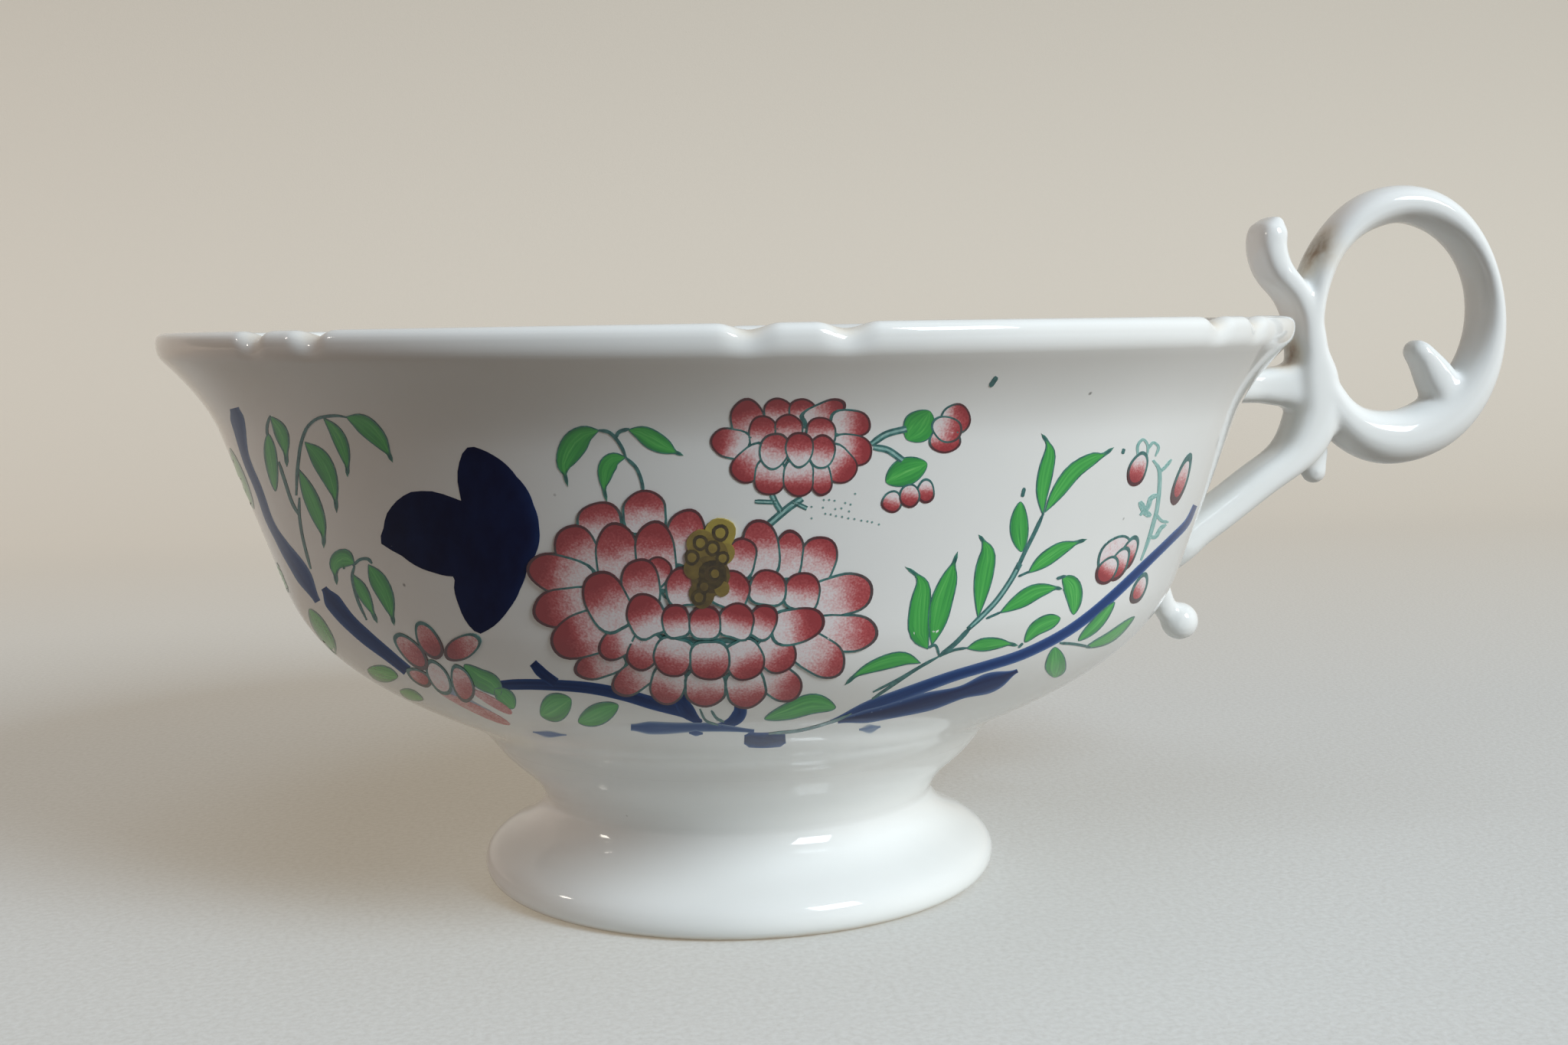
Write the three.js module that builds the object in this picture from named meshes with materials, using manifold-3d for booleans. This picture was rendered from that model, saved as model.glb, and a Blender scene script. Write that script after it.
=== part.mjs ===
// Footed porcelain cup: a thrown bowl with a flared rim pressed in at paired dents, a turned pedestal foot,
// and a handle built from straps, with a finger ring standing above the rim.
// Millimetres, +Z up, handle on +X, foot ring on z = 0, origin under the middle of the cup's own box.
import * as THREE from "three";
import { mergeVertices } from "three/addons/utils/BufferGeometryUtils.js";
import Module from "manifold-3d";

// Bowl: heights are above the table, the rim's diameter is of its outer face, reach and lean are radial
const rimDiameter = 100;
const cupHeight = 50.5;
const lipThickness = 1.9;
const lipHeight = 2.8;
const lipRound = 1.1;
const lipUndercut = 0.5;
const flareHeight = 8.4;
const flareBend = 2.4;
const flareReach = 4.8;
const wallFootHeight = 28;
const wallLean = 5;
const wallThickness = 2.3;
const bellyBend = 5.2;
const bellyReach = 10.4;
const bellyRise = 4.6;
const floorThickness = 4.2;
const floorRise = 0.9;

// Rim dents: pairs pressed in with a finger, spread evenly from the handle, with angles in degrees
const dentPairs = 8;
const dentHalfSpacing = 3.6;
const dentHalfWidth = 1.5;
const dentDepth = 0.8;
const dentDip = 0.35;
const dentLength = 5.5;

// Foot: a pedestal that tapers to a waist over a cushion, hollow underneath
const jointHeight = 13.4;
const jointDiameter = 42.8;
const jointHoleDiameter = 29;
const jointFillet = 2.2;
const waistHeight = 6.6;
const waistDiameter = 35;
const cushionDiameter = 47.8;
const cushionHeight = 5;
const bulgeHeight = 2.1;
const restOuterDiameter = 45;
const restWidth = 2;
const recessHeight = 1.6;
const recessSlope = 1.2;
const throatDiameter = 27.4;

// Handle: the ring's sizes are at the middle of its strap
const stemStandoff = 4.5;
const ringWidth = 19.1;
const ringHeight = 22.9;
const ringDrop = 0.3;
const ringStart = 162;
const ringSweep = 309;
const strapDepth = 6.4;
const stemThickness = 2.2;
const stemBow = 0.9;
const strutThickness = 2.7;
const thumbThickness = 1.6;
const ringThickness = 2;
const ringTopThickness = 2.4;
const ringFootThickness = 3.2;
const thumbRise = 9.6;
const thumbLean = 3.4;
const seatHeight = 28.3;
const seatLength = 4;
const seatStandoff = 1.3;
const tailDrop = 5.4;
const tailReach = 2.6;
const tailDiameter = 3.6;
const lugDrop = 6.1;
const lugThickness = 2.9;
const lugDepth = 5;
const spurAngle = -52;
const spurLength = 7.6;
const spurThickness = 3;
const dropStandoff = 1.7;
const dropLength = 3.4;
const dropDiameter = 2.4;

// Luting slip between the pieces, and the gap that a cut face keeps to its neighbour
const slipThickness = 0.4;
const slipMargin = 0.6;
const lugPadThickness = 0.6;
const lutingGap = 0.3;

// Fineness of the facets
const footColumns = 44;
const strapSides = 12;
const ringSteps = 36;
const scrollSteps = 44;
const shortSteps = 8;

const rimRadius = rimDiameter / 2;
const wallTopRadius = rimRadius - flareReach;
const wallFootRadius = wallTopRadius - wallLean;
const jointRadius = jointDiameter / 2;
const wallTopHeight = cupHeight - flareHeight;
const lugHeight = cupHeight - lugDrop;
const stemX = rimRadius + stemStandoff;
const ringX = stemX + ringWidth / 2;
const ringZ = cupHeight - ringDrop;
const ringReach = ringX + ringWidth / 2 + ringThickness / 2;
const axisX = (rimRadius - ringReach) / 2;

const { degToRad, lerp, mapLinear, smoothstep } = THREE.MathUtils;
const point = (x, y) => new THREE.Vector2(x, y);

const wasm = await Module();
wasm.setup();

// A closed geometry as a solid that can be cut
function solidOf(geometry) {
  const bare = new THREE.BufferGeometry();
  bare.setAttribute("position", geometry.getAttribute("position"));
  bare.setIndex(geometry.getIndex());
  const merged = mergeVertices(bare, 1e-4);
  const corners = merged.getIndex().array;
  const kept = [];
  for (let i = 0; i < corners.length; i += 3) {
    const [a, b, c] = corners.slice(i, i + 3);
    if (a !== b && b !== c && c !== a) kept.push(a, b, c);
  }
  return new wasm.Manifold(
    new wasm.Mesh({
      numProp: 3,
      vertProperties: new Float32Array(merged.getAttribute("position").array),
      triVerts: new Uint32Array(kept),
    }),
  );
}

// What is left of a solid after its neighbours are cut away: the largest body, without offcuts
function cutBy(solid, cutters) {
  const left = cutters.reduce((rest, cutter) => rest.subtract(cutter), solid);
  return left.decompose().reduce((a, b) => (a.volume() > b.volume() ? a : b));
}

function geometryOf(solid) {
  const mesh = solid.getMesh();
  const geometry = new THREE.BufferGeometry();
  geometry.setAttribute("position", new THREE.BufferAttribute(mesh.vertProperties, 3));
  geometry.setIndex(new THREE.BufferAttribute(mesh.triVerts, 1));
  geometry.computeVertexNormals();
  return geometry;
}

// A turned solid from a profile of radius and height, with its axis on Z
function turned(profile, columns) {
  return new THREE.LatheGeometry(profile, columns).rotateX(Math.PI / 2);
}

// A run of curves as one row of points, each curve with its own number of steps
function chain(runs) {
  return runs.flatMap(([curve, steps], i) => curve.getPoints(steps).slice(i === 0 ? 0 : 1));
}

// Outer face of the bowl, from the joint up to the lip
function bowlOuterPoints() {
  const joint = point(jointRadius, jointHeight);
  const turn = point(jointRadius + jointFillet * 0.5, jointHeight + jointFillet);
  const wallFoot = point(wallFootRadius, wallFootHeight);
  const wallTop = point(wallTopRadius, wallTopHeight);
  const lipFoot = point(rimRadius - lipUndercut, cupHeight - lipHeight);
  const along = wallTop.clone().sub(wallFoot).normalize();
  const bellyStart = point(turn.x + bellyReach, turn.y + bellyRise);
  const bellyEnd = wallFoot.clone().addScaledVector(along, -bellyBend);
  const flareStart = wallTop.clone().addScaledVector(along, flareBend);
  const flareEnd = point(lipFoot.x - flareBend * 0.7, lipFoot.y - flareBend * 0.7);
  return chain([
    [new THREE.QuadraticBezierCurve(joint, point(joint.x, lerp(joint.y, turn.y, 0.7)), turn), 3],
    [new THREE.CubicBezierCurve(turn, bellyStart, bellyEnd, wallFoot), 7],
    [new THREE.LineCurve(wallFoot, wallTop), 1],
    [new THREE.CubicBezierCurve(wallTop, flareStart, flareEnd, lipFoot), 4],
  ]);
}

const bowlOuter = bowlOuterPoints();

// Outer radius of the bowl at a height
function wallRadius(height) {
  const above = bowlOuter.findIndex((p) => p.y >= height);
  const [low, high] = [bowlOuter[above - 1], bowlOuter[above]];
  return mapLinear(height, low.y, high.y, low.x, high.x);
}

// The rounded lip, from the outer face over the top to the inner face
function lipPoints() {
  const foot = point(rimRadius - lipUndercut, cupHeight - lipHeight);
  const side = point(rimRadius, cupHeight - lipRound);
  const bend = point(rimRadius, (foot.y + side.y) / 2 - lipUndercut * 0.5);
  const over = new THREE.EllipseCurve(
    rimRadius - lipThickness / 2,
    side.y,
    lipThickness / 2,
    lipRound,
    0,
    Math.PI,
    false,
  );
  return chain([
    [new THREE.QuadraticBezierCurve(foot, bend, side), 2],
    [over, 4],
  ]);
}

// Inner face of the bowl, from the lip down to the middle of the floor
function bowlInnerPoints() {
  const lip = point(rimRadius - lipThickness, cupHeight - lipRound);
  const wallTop = point(wallTopRadius - wallThickness, wallTopHeight);
  const wallFoot = point(wallFootRadius - wallThickness, wallFootHeight);
  const floorEdge = point(jointRadius, jointHeight + floorThickness + floorRise);
  const floorMiddle = point(0, jointHeight + floorThickness);
  const along = wallTop.clone().sub(wallFoot).normalize();
  const flareStart = point(lip.x - flareBend * 0.2, lip.y - flareBend);
  const flareEnd = wallTop.clone().addScaledVector(along, flareBend);
  const bellyStart = wallFoot.clone().addScaledVector(along, -bellyBend * 1.2);
  const bellyEnd = point(floorEdge.x + bellyReach * 0.7, floorEdge.y + floorRise * 1.7);
  return chain([
    [new THREE.CubicBezierCurve(lip, flareStart, flareEnd, wallTop), 4],
    [new THREE.LineCurve(wallTop, wallFoot), 1],
    [new THREE.CubicBezierCurve(wallFoot, bellyStart, bellyEnd, floorEdge), 5],
    [new THREE.QuadraticBezierCurve(floorEdge, point(floorEdge.x * 0.5, floorMiddle.y), floorMiddle), 3],
  ]);
}

// Angles of the bowl's columns in degrees: close together at the dents, wide between them
function bowlColumns() {
  const pitch = 360 / dentPairs;
  const edge = dentHalfSpacing + dentHalfWidth;
  const step = (pitch / 2 - edge) / 3;
  const half = [dentHalfSpacing - dentHalfWidth, dentHalfSpacing, edge, edge + step, edge + 2 * step];
  const sector = [0, ...half, pitch / 2, ...half.map((a) => pitch - a).reverse()];
  return Array.from({ length: dentPairs }, (_, k) => sector.map((a) => a + k * pitch)).flat();
}

// How far a dent is pressed in at an angle, from 0 to 1
function dentShare(angle) {
  const pitch = 360 / dentPairs;
  const fromPair = Math.abs(angle - pitch * Math.round(angle / pitch));
  return Math.max(0, 1 - Math.abs(fromPair - dentHalfSpacing) / dentHalfWidth);
}

// The bowl is turned with even columns, which are then moved to their own angles and pressed in at the dents
function bowlSolid() {
  const profile = [
    point(0, jointHeight),
    ...bowlOuter,
    ...lipPoints().slice(1),
    ...bowlInnerPoints().slice(1),
  ];
  const columns = bowlColumns();
  const geometry = turned(profile, columns.length);
  const position = geometry.getAttribute("position");
  const even = (2 * Math.PI) / columns.length;
  for (let i = 0; i < position.count; i++) {
    const [x, y, z] = [position.getX(i), position.getY(i), position.getZ(i)];
    const column = Math.round(Math.atan2(y, x) / even + columns.length) % columns.length;
    const fade = Math.max(0, (z - cupHeight + dentLength) / dentLength);
    const pressed = dentShare(columns[column]) * fade * fade;
    const radius = Math.max(0, Math.hypot(x, y) - dentDepth * pressed);
    const turn = degToRad(columns[column]);
    position.setXYZ(i, radius * Math.cos(turn), radius * Math.sin(turn), z - dentDip * pressed);
  }
  return solidOf(geometry);
}

// The bowl filled in and swelled by a gap, to cut the pieces that are luted to it
function bowlEnvelope(gap) {
  const outline = bowlOuter.map((p, i) => {
    const before = bowlOuter[Math.max(0, i - 1)];
    const after = bowlOuter[Math.min(bowlOuter.length - 1, i + 1)];
    const along = after.clone().sub(before).normalize();
    return point(p.x + along.y * gap, p.y - along.x * gap);
  });
  const profile = [
    point(0, outline[0].y),
    ...outline,
    point(rimRadius + gap, cupHeight - lipRound),
    point(0, cupHeight - lipRound),
  ];
  return solidOf(turned(profile, bowlColumns().length));
}

function footSolid() {
  const cushion = cushionDiameter / 2;
  const waist = waistDiameter / 2;
  const restOuter = point(restOuterDiameter / 2, 0);
  const restInner = point(restOuterDiameter / 2 - restWidth, 0);
  const bulge = point(cushion, bulgeHeight);
  const shoulder = point((cushion + waist) / 2, cushionHeight);
  const waistRing = point(waist, waistHeight);
  const seatOuter = point(jointRadius, jointHeight - slipThickness);
  const seatInner = point(jointHoleDiameter / 2, seatOuter.y);
  const throat = point(throatDiameter / 2, waistHeight);
  const recess = point(restInner.x - recessSlope, recessHeight);
  const neckMiddle = point(lerp(waist, seatOuter.x, 0.35), lerp(waistHeight, seatOuter.y, 0.3));
  const neckTop = point(lerp(waist, seatOuter.x, 0.9), lerp(waistHeight, seatOuter.y, 0.75));
  const cushionSide = point(cushion, lerp(bulgeHeight, cushionHeight, 0.65));
  const cushionTop = point(lerp(shoulder.x, cushion, 0.6), cushionHeight);
  const coveThroat = point(throat.x, lerp(recessHeight, waistHeight, 0.3));
  const coveRecess = point(lerp(throat.x, recess.x, 0.4), recessHeight);
  const profile = chain([
    [new THREE.LineCurve(restInner, restOuter), 1],
    [new THREE.QuadraticBezierCurve(restOuter, point(cushion, bulgeHeight * 0.3), bulge), 3],
    [new THREE.CubicBezierCurve(bulge, cushionSide, cushionTop, shoulder), 4],
    [new THREE.QuadraticBezierCurve(shoulder, point(waist, cushionHeight), waistRing), 3],
    [new THREE.CubicBezierCurve(waistRing, neckMiddle, neckTop, seatOuter), 4],
    [new THREE.LineCurve(seatOuter, seatInner), 1],
    [new THREE.LineCurve(seatInner, throat), 1],
    [new THREE.CubicBezierCurve(throat, coveThroat, coveRecess, recess), 4],
    [new THREE.LineCurve(recess, restInner), 1],
  ]);
  return solidOf(turned(profile, footColumns));
}

// A flat ring of slip between the bowl's underside and the foot's seat
function footSlipSolid() {
  const outer = jointRadius - slipMargin;
  const inner = jointHoleDiameter / 2 + slipMargin;
  const [low, high] = [jointHeight - slipThickness, jointHeight];
  const profile = [point(inner, low), point(outer, low), point(outer, high), point(inner, high), point(inner, low)];
  return solidOf(turned(profile, footColumns));
}

// A strap along a curve in the handle's plane: a rounded section whose thickness and depth follow the curve
function strapSolid(curve, thicknessAt, depthAt, steps, swell = 0) {
  const squareness = 0.62;
  const squared = (v) => Math.sign(v) * Math.abs(v) ** squareness;
  const corners = [];
  for (let i = 0; i <= steps; i++) {
    const at = curve.getPointAt(i / steps);
    const tangent = curve.getTangentAt(i / steps);
    const thick = thicknessAt(i / steps) / 2 + swell;
    const deep = depthAt(i / steps) / 2 + swell;
    if (i === 0) at.addScaledVector(tangent, -swell);
    if (i === steps) at.addScaledVector(tangent, swell);
    for (let k = 0; k < strapSides; k++) {
      const turn = (2 * Math.PI * (k + 0.5)) / strapSides;
      const across = thick * squared(Math.cos(turn));
      corners.push(at.x - tangent.y * across, deep * squared(Math.sin(turn)), at.y + tangent.x * across);
    }
  }
  const faces = [];
  for (let i = 0; i < steps; i++) {
    for (let k = 0; k < strapSides; k++) {
      const a = i * strapSides + k;
      const b = i * strapSides + ((k + 1) % strapSides);
      faces.push(a, a + strapSides, b, b, a + strapSides, b + strapSides);
    }
  }
  const last = steps * strapSides;
  for (let k = 1; k < strapSides - 1; k++) faces.push(0, k, k + 1, last, last + k + 1, last + k);
  const geometry = new THREE.BufferGeometry();
  geometry.setAttribute("position", new THREE.Float32BufferAttribute(corners, 3));
  geometry.setIndex(faces);
  return solidOf(geometry);
}

// A size that runs through stops of share and value, eased between them
function easedBetween(stops) {
  return (share) => {
    const next = Math.max(1, stops.findIndex(([s]) => s >= share));
    const [[s0, v0], [s1, v1]] = [stops[next - 1], stops[next]];
    return lerp(v0, v1, smoothstep(share, s0, s1));
  };
}

// The scrolled strap's line: thumb scroll, stem, strut, seat on the bowl and curled tail
function scrollCurve() {
  const off = seatStandoff + strutThickness / 2;
  const knee = point(stemX - stemBow * 0.7, ringZ - ringHeight / 2 - stemBow);
  const seatTop = point(wallRadius(seatHeight + seatLength / 2) + off, seatHeight + seatLength / 2);
  const seatFoot = point(wallRadius(seatHeight - seatLength / 2) + off, seatHeight - seatLength / 2);
  const tail = point(seatFoot.x + tailReach, seatFoot.y - tailDrop);
  return new THREE.SplineCurve([
    point(stemX - thumbLean * 0.8, ringZ + thumbRise),
    point(stemX - thumbLean, ringZ + thumbRise * 0.76),
    point(stemX - thumbLean * 0.8, ringZ + thumbRise * 0.5),
    point(stemX - thumbLean * 0.3, ringZ + thumbRise * 0.26),
    point(stemX - stemBow * 0.2, ringZ),
    point(stemX + stemBow * 0.1, ringZ - ringHeight * 0.13),
    point(stemX + stemBow * 0.8, ringZ - ringHeight * 0.28),
    point(stemX + stemBow, ringZ - ringHeight * 0.42),
    knee,
    knee.clone().lerp(seatTop, 0.36),
    knee.clone().lerp(seatTop, 0.72),
    seatTop,
    seatFoot,
    point(seatFoot.x, lerp(seatFoot.y, tail.y, 0.45)),
    point(lerp(seatFoot.x, tail.x, 0.35), lerp(seatFoot.y, tail.y, 0.85)),
    tail,
  ]);
}

function scrollSolid(swell = 0) {
  const thickness = easedBetween([
    [0, thumbThickness * 0.5],
    [0.03, thumbThickness],
    [0.2, stemThickness],
    [0.42, stemThickness],
    [0.55, strutThickness],
    [0.8, strutThickness],
    [0.89, strutThickness * 0.75],
    [0.96, tailDiameter],
    [0.98, tailDiameter],
    [1, tailDiameter * 0.5],
  ]);
  const depth = easedBetween([
    [0, strapDepth * 0.7],
    [0.03, strapDepth * 0.9],
    [0.15, strapDepth],
    [0.8, strapDepth],
    [0.89, strapDepth * 0.75],
    [0.96, tailDiameter * 1.1],
    [0.98, tailDiameter],
    [1, tailDiameter * 0.5],
  ]);
  return strapSolid(scrollCurve(), thickness, depth, scrollSteps, swell);
}

// The finger ring: most of an oval that springs from the stem and comes back to it lower down
function ringSolid(swell = 0) {
  const start = degToRad(ringStart);
  const end = degToRad(ringStart - ringSweep);
  const curve = new THREE.EllipseCurve(ringX, ringZ, ringWidth / 2, ringHeight / 2, start, end, true);
  const thickness = easedBetween([
    [0, ringTopThickness],
    [0.25, ringTopThickness],
    [0.5, ringThickness],
    [0.8, ringFootThickness],
    [1, ringFootThickness],
  ]);
  return strapSolid(curve, thickness, () => strapDepth, ringSteps, swell);
}

// The thorn inside the ring, rooted in its strap and bent up towards the middle
function spurSolid() {
  const turn = degToRad(spurAngle);
  const root = point(ringX + (ringWidth / 2) * Math.cos(turn), ringZ + (ringHeight / 2) * Math.sin(turn));
  const bends = [point(0, 0), point(-0.13, 0.27), point(-0.3, 0.55), point(-0.52, 0.82)];
  const curve = new THREE.SplineCurve(bends.map((b) => b.multiplyScalar(spurLength).add(root)));
  const thickness = easedBetween([
    [0, spurThickness],
    [0.4, spurThickness * 0.85],
    [0.9, spurThickness * 0.4],
    [1, spurThickness * 0.2],
  ]);
  const depth = easedBetween([
    [0, strapDepth * 0.85],
    [0.9, strapDepth * 0.5],
    [1, strapDepth * 0.3],
  ]);
  return strapSolid(curve, thickness, depth, shortSteps);
}

// The small drop under the place where the ring and the strut part
function dropSolid() {
  const top = point(stemX + dropStandoff, ringZ - ringHeight / 2);
  const foot = point(top.x - dropDiameter * 0.15, top.y - dropLength);
  const size = easedBetween([
    [0, dropDiameter],
    [0.6, dropDiameter * 0.9],
    [1, dropDiameter * 0.3],
  ]);
  return strapSolid(new THREE.LineCurve(top, foot), size, (share) => size(share) * 1.3, shortSteps);
}

// The flat seat of the lug stands clear of the flare above it
const lugSeatX = wallRadius(lugHeight + lugThickness / 2) + lugPadThickness;

// The lug that ties the stem to the bowl, below the rim
function lugSolid() {
  const curve = new THREE.LineCurve(point(lugSeatX, lugHeight), point(stemX, lugHeight));
  const waisted = (size) =>
    easedBetween([
      [0, size],
      [0.5, size * 0.88],
      [1, size],
    ]);
  return strapSolid(curve, waisted(lugThickness), waisted(lugDepth), shortSteps);
}

// The pad of slip under the lug, with a flat seat for it
function lugPadSolid() {
  const inside = wallRadius(lugHeight - lugThickness) - wallThickness / 2;
  const curve = new THREE.LineCurve(point(inside, lugHeight), point(lugSeatX, lugHeight));
  return strapSolid(
    curve,
    () => lugThickness + slipMargin,
    () => lugDepth + slipMargin,
    1,
  );
}

// The pad of slip under the strut's seat, which fills the room between the strap and the wall
function strutPadSolid() {
  const foot = seatHeight - seatLength / 2;
  const top = seatHeight + seatLength / 2;
  const curve = new THREE.LineCurve(point(wallRadius(foot), foot), point(wallRadius(top), top));
  return strapSolid(
    curve,
    () => 2 * seatStandoff + strutThickness,
    () => strapDepth - slipMargin,
    1,
  );
}

const glazedPorcelain = new THREE.MeshStandardMaterial({ color: 0xf0f1ef, roughness: 0.12, metalness: 0 });
const driedSlip = new THREE.MeshStandardMaterial({ color: 0xe6dfd2, roughness: 0.6, metalness: 0 });

const cup = new THREE.Group();
cup.name = "cup";

function addPiece(name, solid, material) {
  const piece = new THREE.Mesh(geometryOf(solid), material);
  piece.name = name;
  piece.position.x = axisX;
  cup.add(piece);
}

const nearBowl = bowlEnvelope(lutingGap);
const nearScroll = scrollSolid(lutingGap);
const nearRing = ringSolid(lutingGap);

addPiece("bowl", bowlSolid(), glazedPorcelain);
addPiece("foot", footSolid(), glazedPorcelain);
addPiece("foot_slip", footSlipSolid(), driedSlip);
addPiece("handle_scroll", cutBy(scrollSolid(), [nearBowl]), glazedPorcelain);
addPiece("finger_ring", cutBy(ringSolid(), [nearScroll]), glazedPorcelain);
addPiece("ring_spur", cutBy(spurSolid(), [nearRing]), glazedPorcelain);
addPiece("ring_drop", cutBy(dropSolid(), [nearRing, nearScroll]), glazedPorcelain);
addPiece("upper_lug", cutBy(lugSolid(), [nearScroll]), glazedPorcelain);
addPiece("upper_slip_pad", cutBy(lugPadSolid(), [nearBowl]), driedSlip);
addPiece("lower_slip_pad", cutBy(strutPadSolid(), [nearBowl, nearScroll]), driedSlip);

export default cup;
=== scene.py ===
import bpy
import bmesh
import math
import random
from mathutils import Matrix, Vector
from mathutils.bvhtree import BVHTree
from mathutils.geometry import interpolate_bezier


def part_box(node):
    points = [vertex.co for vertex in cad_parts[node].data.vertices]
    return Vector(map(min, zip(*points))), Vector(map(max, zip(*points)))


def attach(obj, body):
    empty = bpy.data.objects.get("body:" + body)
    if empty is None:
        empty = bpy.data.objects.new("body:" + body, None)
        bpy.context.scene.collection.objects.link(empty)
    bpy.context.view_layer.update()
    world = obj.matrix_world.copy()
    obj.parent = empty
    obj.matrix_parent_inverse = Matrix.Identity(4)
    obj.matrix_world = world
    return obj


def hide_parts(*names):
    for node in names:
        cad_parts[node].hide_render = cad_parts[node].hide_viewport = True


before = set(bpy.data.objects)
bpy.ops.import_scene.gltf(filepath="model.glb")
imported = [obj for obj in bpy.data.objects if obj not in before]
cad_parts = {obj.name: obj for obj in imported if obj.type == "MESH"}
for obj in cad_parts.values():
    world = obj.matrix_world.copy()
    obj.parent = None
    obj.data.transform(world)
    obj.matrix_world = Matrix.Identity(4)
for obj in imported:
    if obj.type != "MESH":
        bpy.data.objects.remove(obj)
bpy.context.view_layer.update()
bowlLow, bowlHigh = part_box("bowl")
cupAxis = (bowlLow.x + bowlHigh.x) / 2  # the cup's own axis, in the shared frame
toFrame = Matrix.Translation((cupAxis, 0, 0)) @ Matrix.Scale(0.001, 4)  # from millimetres about the axis
random.seed(7)
print("frame loaded, cup axis at x =", round(cupAxis, 4))


def smooth(low, high, value):
    share = min(max((value - low) / (high - low), 0), 1)
    return share * share * (3 - 2 * share)


def hexLinear(code):
    channels = [int(code[i:i + 2], 16) / 255 for i in (1, 3, 5)]
    return [c / 12.92 if c <= 0.04045 else ((c + 0.055) / 1.055) ** 2.4 for c in channels] + [1]


def addObject(name, data):
    made = bpy.data.objects.new(name, data)
    bpy.context.scene.collection.objects.link(made)
    return made


def meshOf(bm, name):
    mesh = bpy.data.meshes.new(name)
    bm.to_mesh(mesh)
    bm.free()
    return mesh


def vertsOf(geometry):
    return [g for g in geometry if isinstance(g, bmesh.types.BMVert)]


# the photograph's own camera, fitted to the circles of the rim and the foot
photoCamera = {
    "pixelsWide": 2048, "pixelsHigh": 1365, "focalPixels": 2366, "sensorMm": 36,
    "distanceMm": 167.4, "heightMm": 50.1, "azimuth": -5.2,
    "turnRight": 1.6, "pitchDown": 6.12, "roll": 0.9, "nearestMm": 10,
}


def addCamera():
    c = photoCamera
    side, out = math.radians(c["azimuth"]), c["distanceMm"]
    place = toFrame @ Vector((math.sin(side) * out, -math.cos(side) * out, c["heightMm"]))
    turn = (
        Matrix.Rotation(side - math.radians(c["turnRight"]), 4, "Z")
        @ Matrix.Rotation(math.radians(90 - c["pitchDown"]), 4, "X")
        @ Matrix.Rotation(-math.radians(c["roll"]), 4, "Z")
    )
    camera = addObject("photo_camera", bpy.data.cameras.new("photo_camera"))
    camera.data.sensor_fit = "HORIZONTAL"
    camera.data.sensor_width = c["sensorMm"]
    camera.data.lens = c["focalPixels"] / c["pixelsWide"] * c["sensorMm"]
    camera.data.clip_start = c["nearestMm"] / 1000
    camera.matrix_world = Matrix.Translation(place) @ turn
    bpy.context.scene.camera = camera
    return place, turn.to_3x3()


photoPlace, photoTurn = addCamera()
print("camera placed")


# materials

def newMaterial(name):
    material = bpy.data.materials.new(name)
    material.use_nodes = True
    return material, material.node_tree.nodes["Principled BSDF"]


# a setting that is another node's output becomes a link; any other goes on its socket, ramp or node
def setNode(owner, node, settings):
    for key, value in settings.items():
        if isinstance(value, bpy.types.NodeSocket):
            owner.node_tree.links.new(value, node.inputs[key])
        elif isinstance(key, int) or key in node.inputs:
            node.inputs[key].default_value = value
        elif key == "stops":
            for stop in value[2:]:
                node.color_ramp.elements.new(stop[0])
            for element, (place, code) in zip(node.color_ramp.elements, sorted(value)):
                element.position = place
                element.color = hexLinear(code)
        else:
            setattr(node, key, value)
    return node


def addNode(owner, kind, settings):
    return setNode(owner, owner.node_tree.nodes.new(kind), settings)


def perMetre(millimetres):
    return 1000 / millimetres


# glazed porcelain: white body under a clear lead glaze, so it is cool white, glossy and a little wavy
glaze = {
    "white": "#e9ebea", "shade": "#dfe1df", "cloudMm": 14, "roughness": 0.07, "ior": 1.52,
    "stain": [(0.25, "#cfb487"), (0.9, "#85603a")], "stainMottleMm": 1.6,
    "speck": "#54504a", "speckSpacingMm": 6.5, "speckCore": 0.012, "speckEdge": 0.03, "speckDepth": 0.7,
    "waveMm": 9, "waveStrength": 0.12, "waveHeightMm": 0.12,
}


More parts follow.
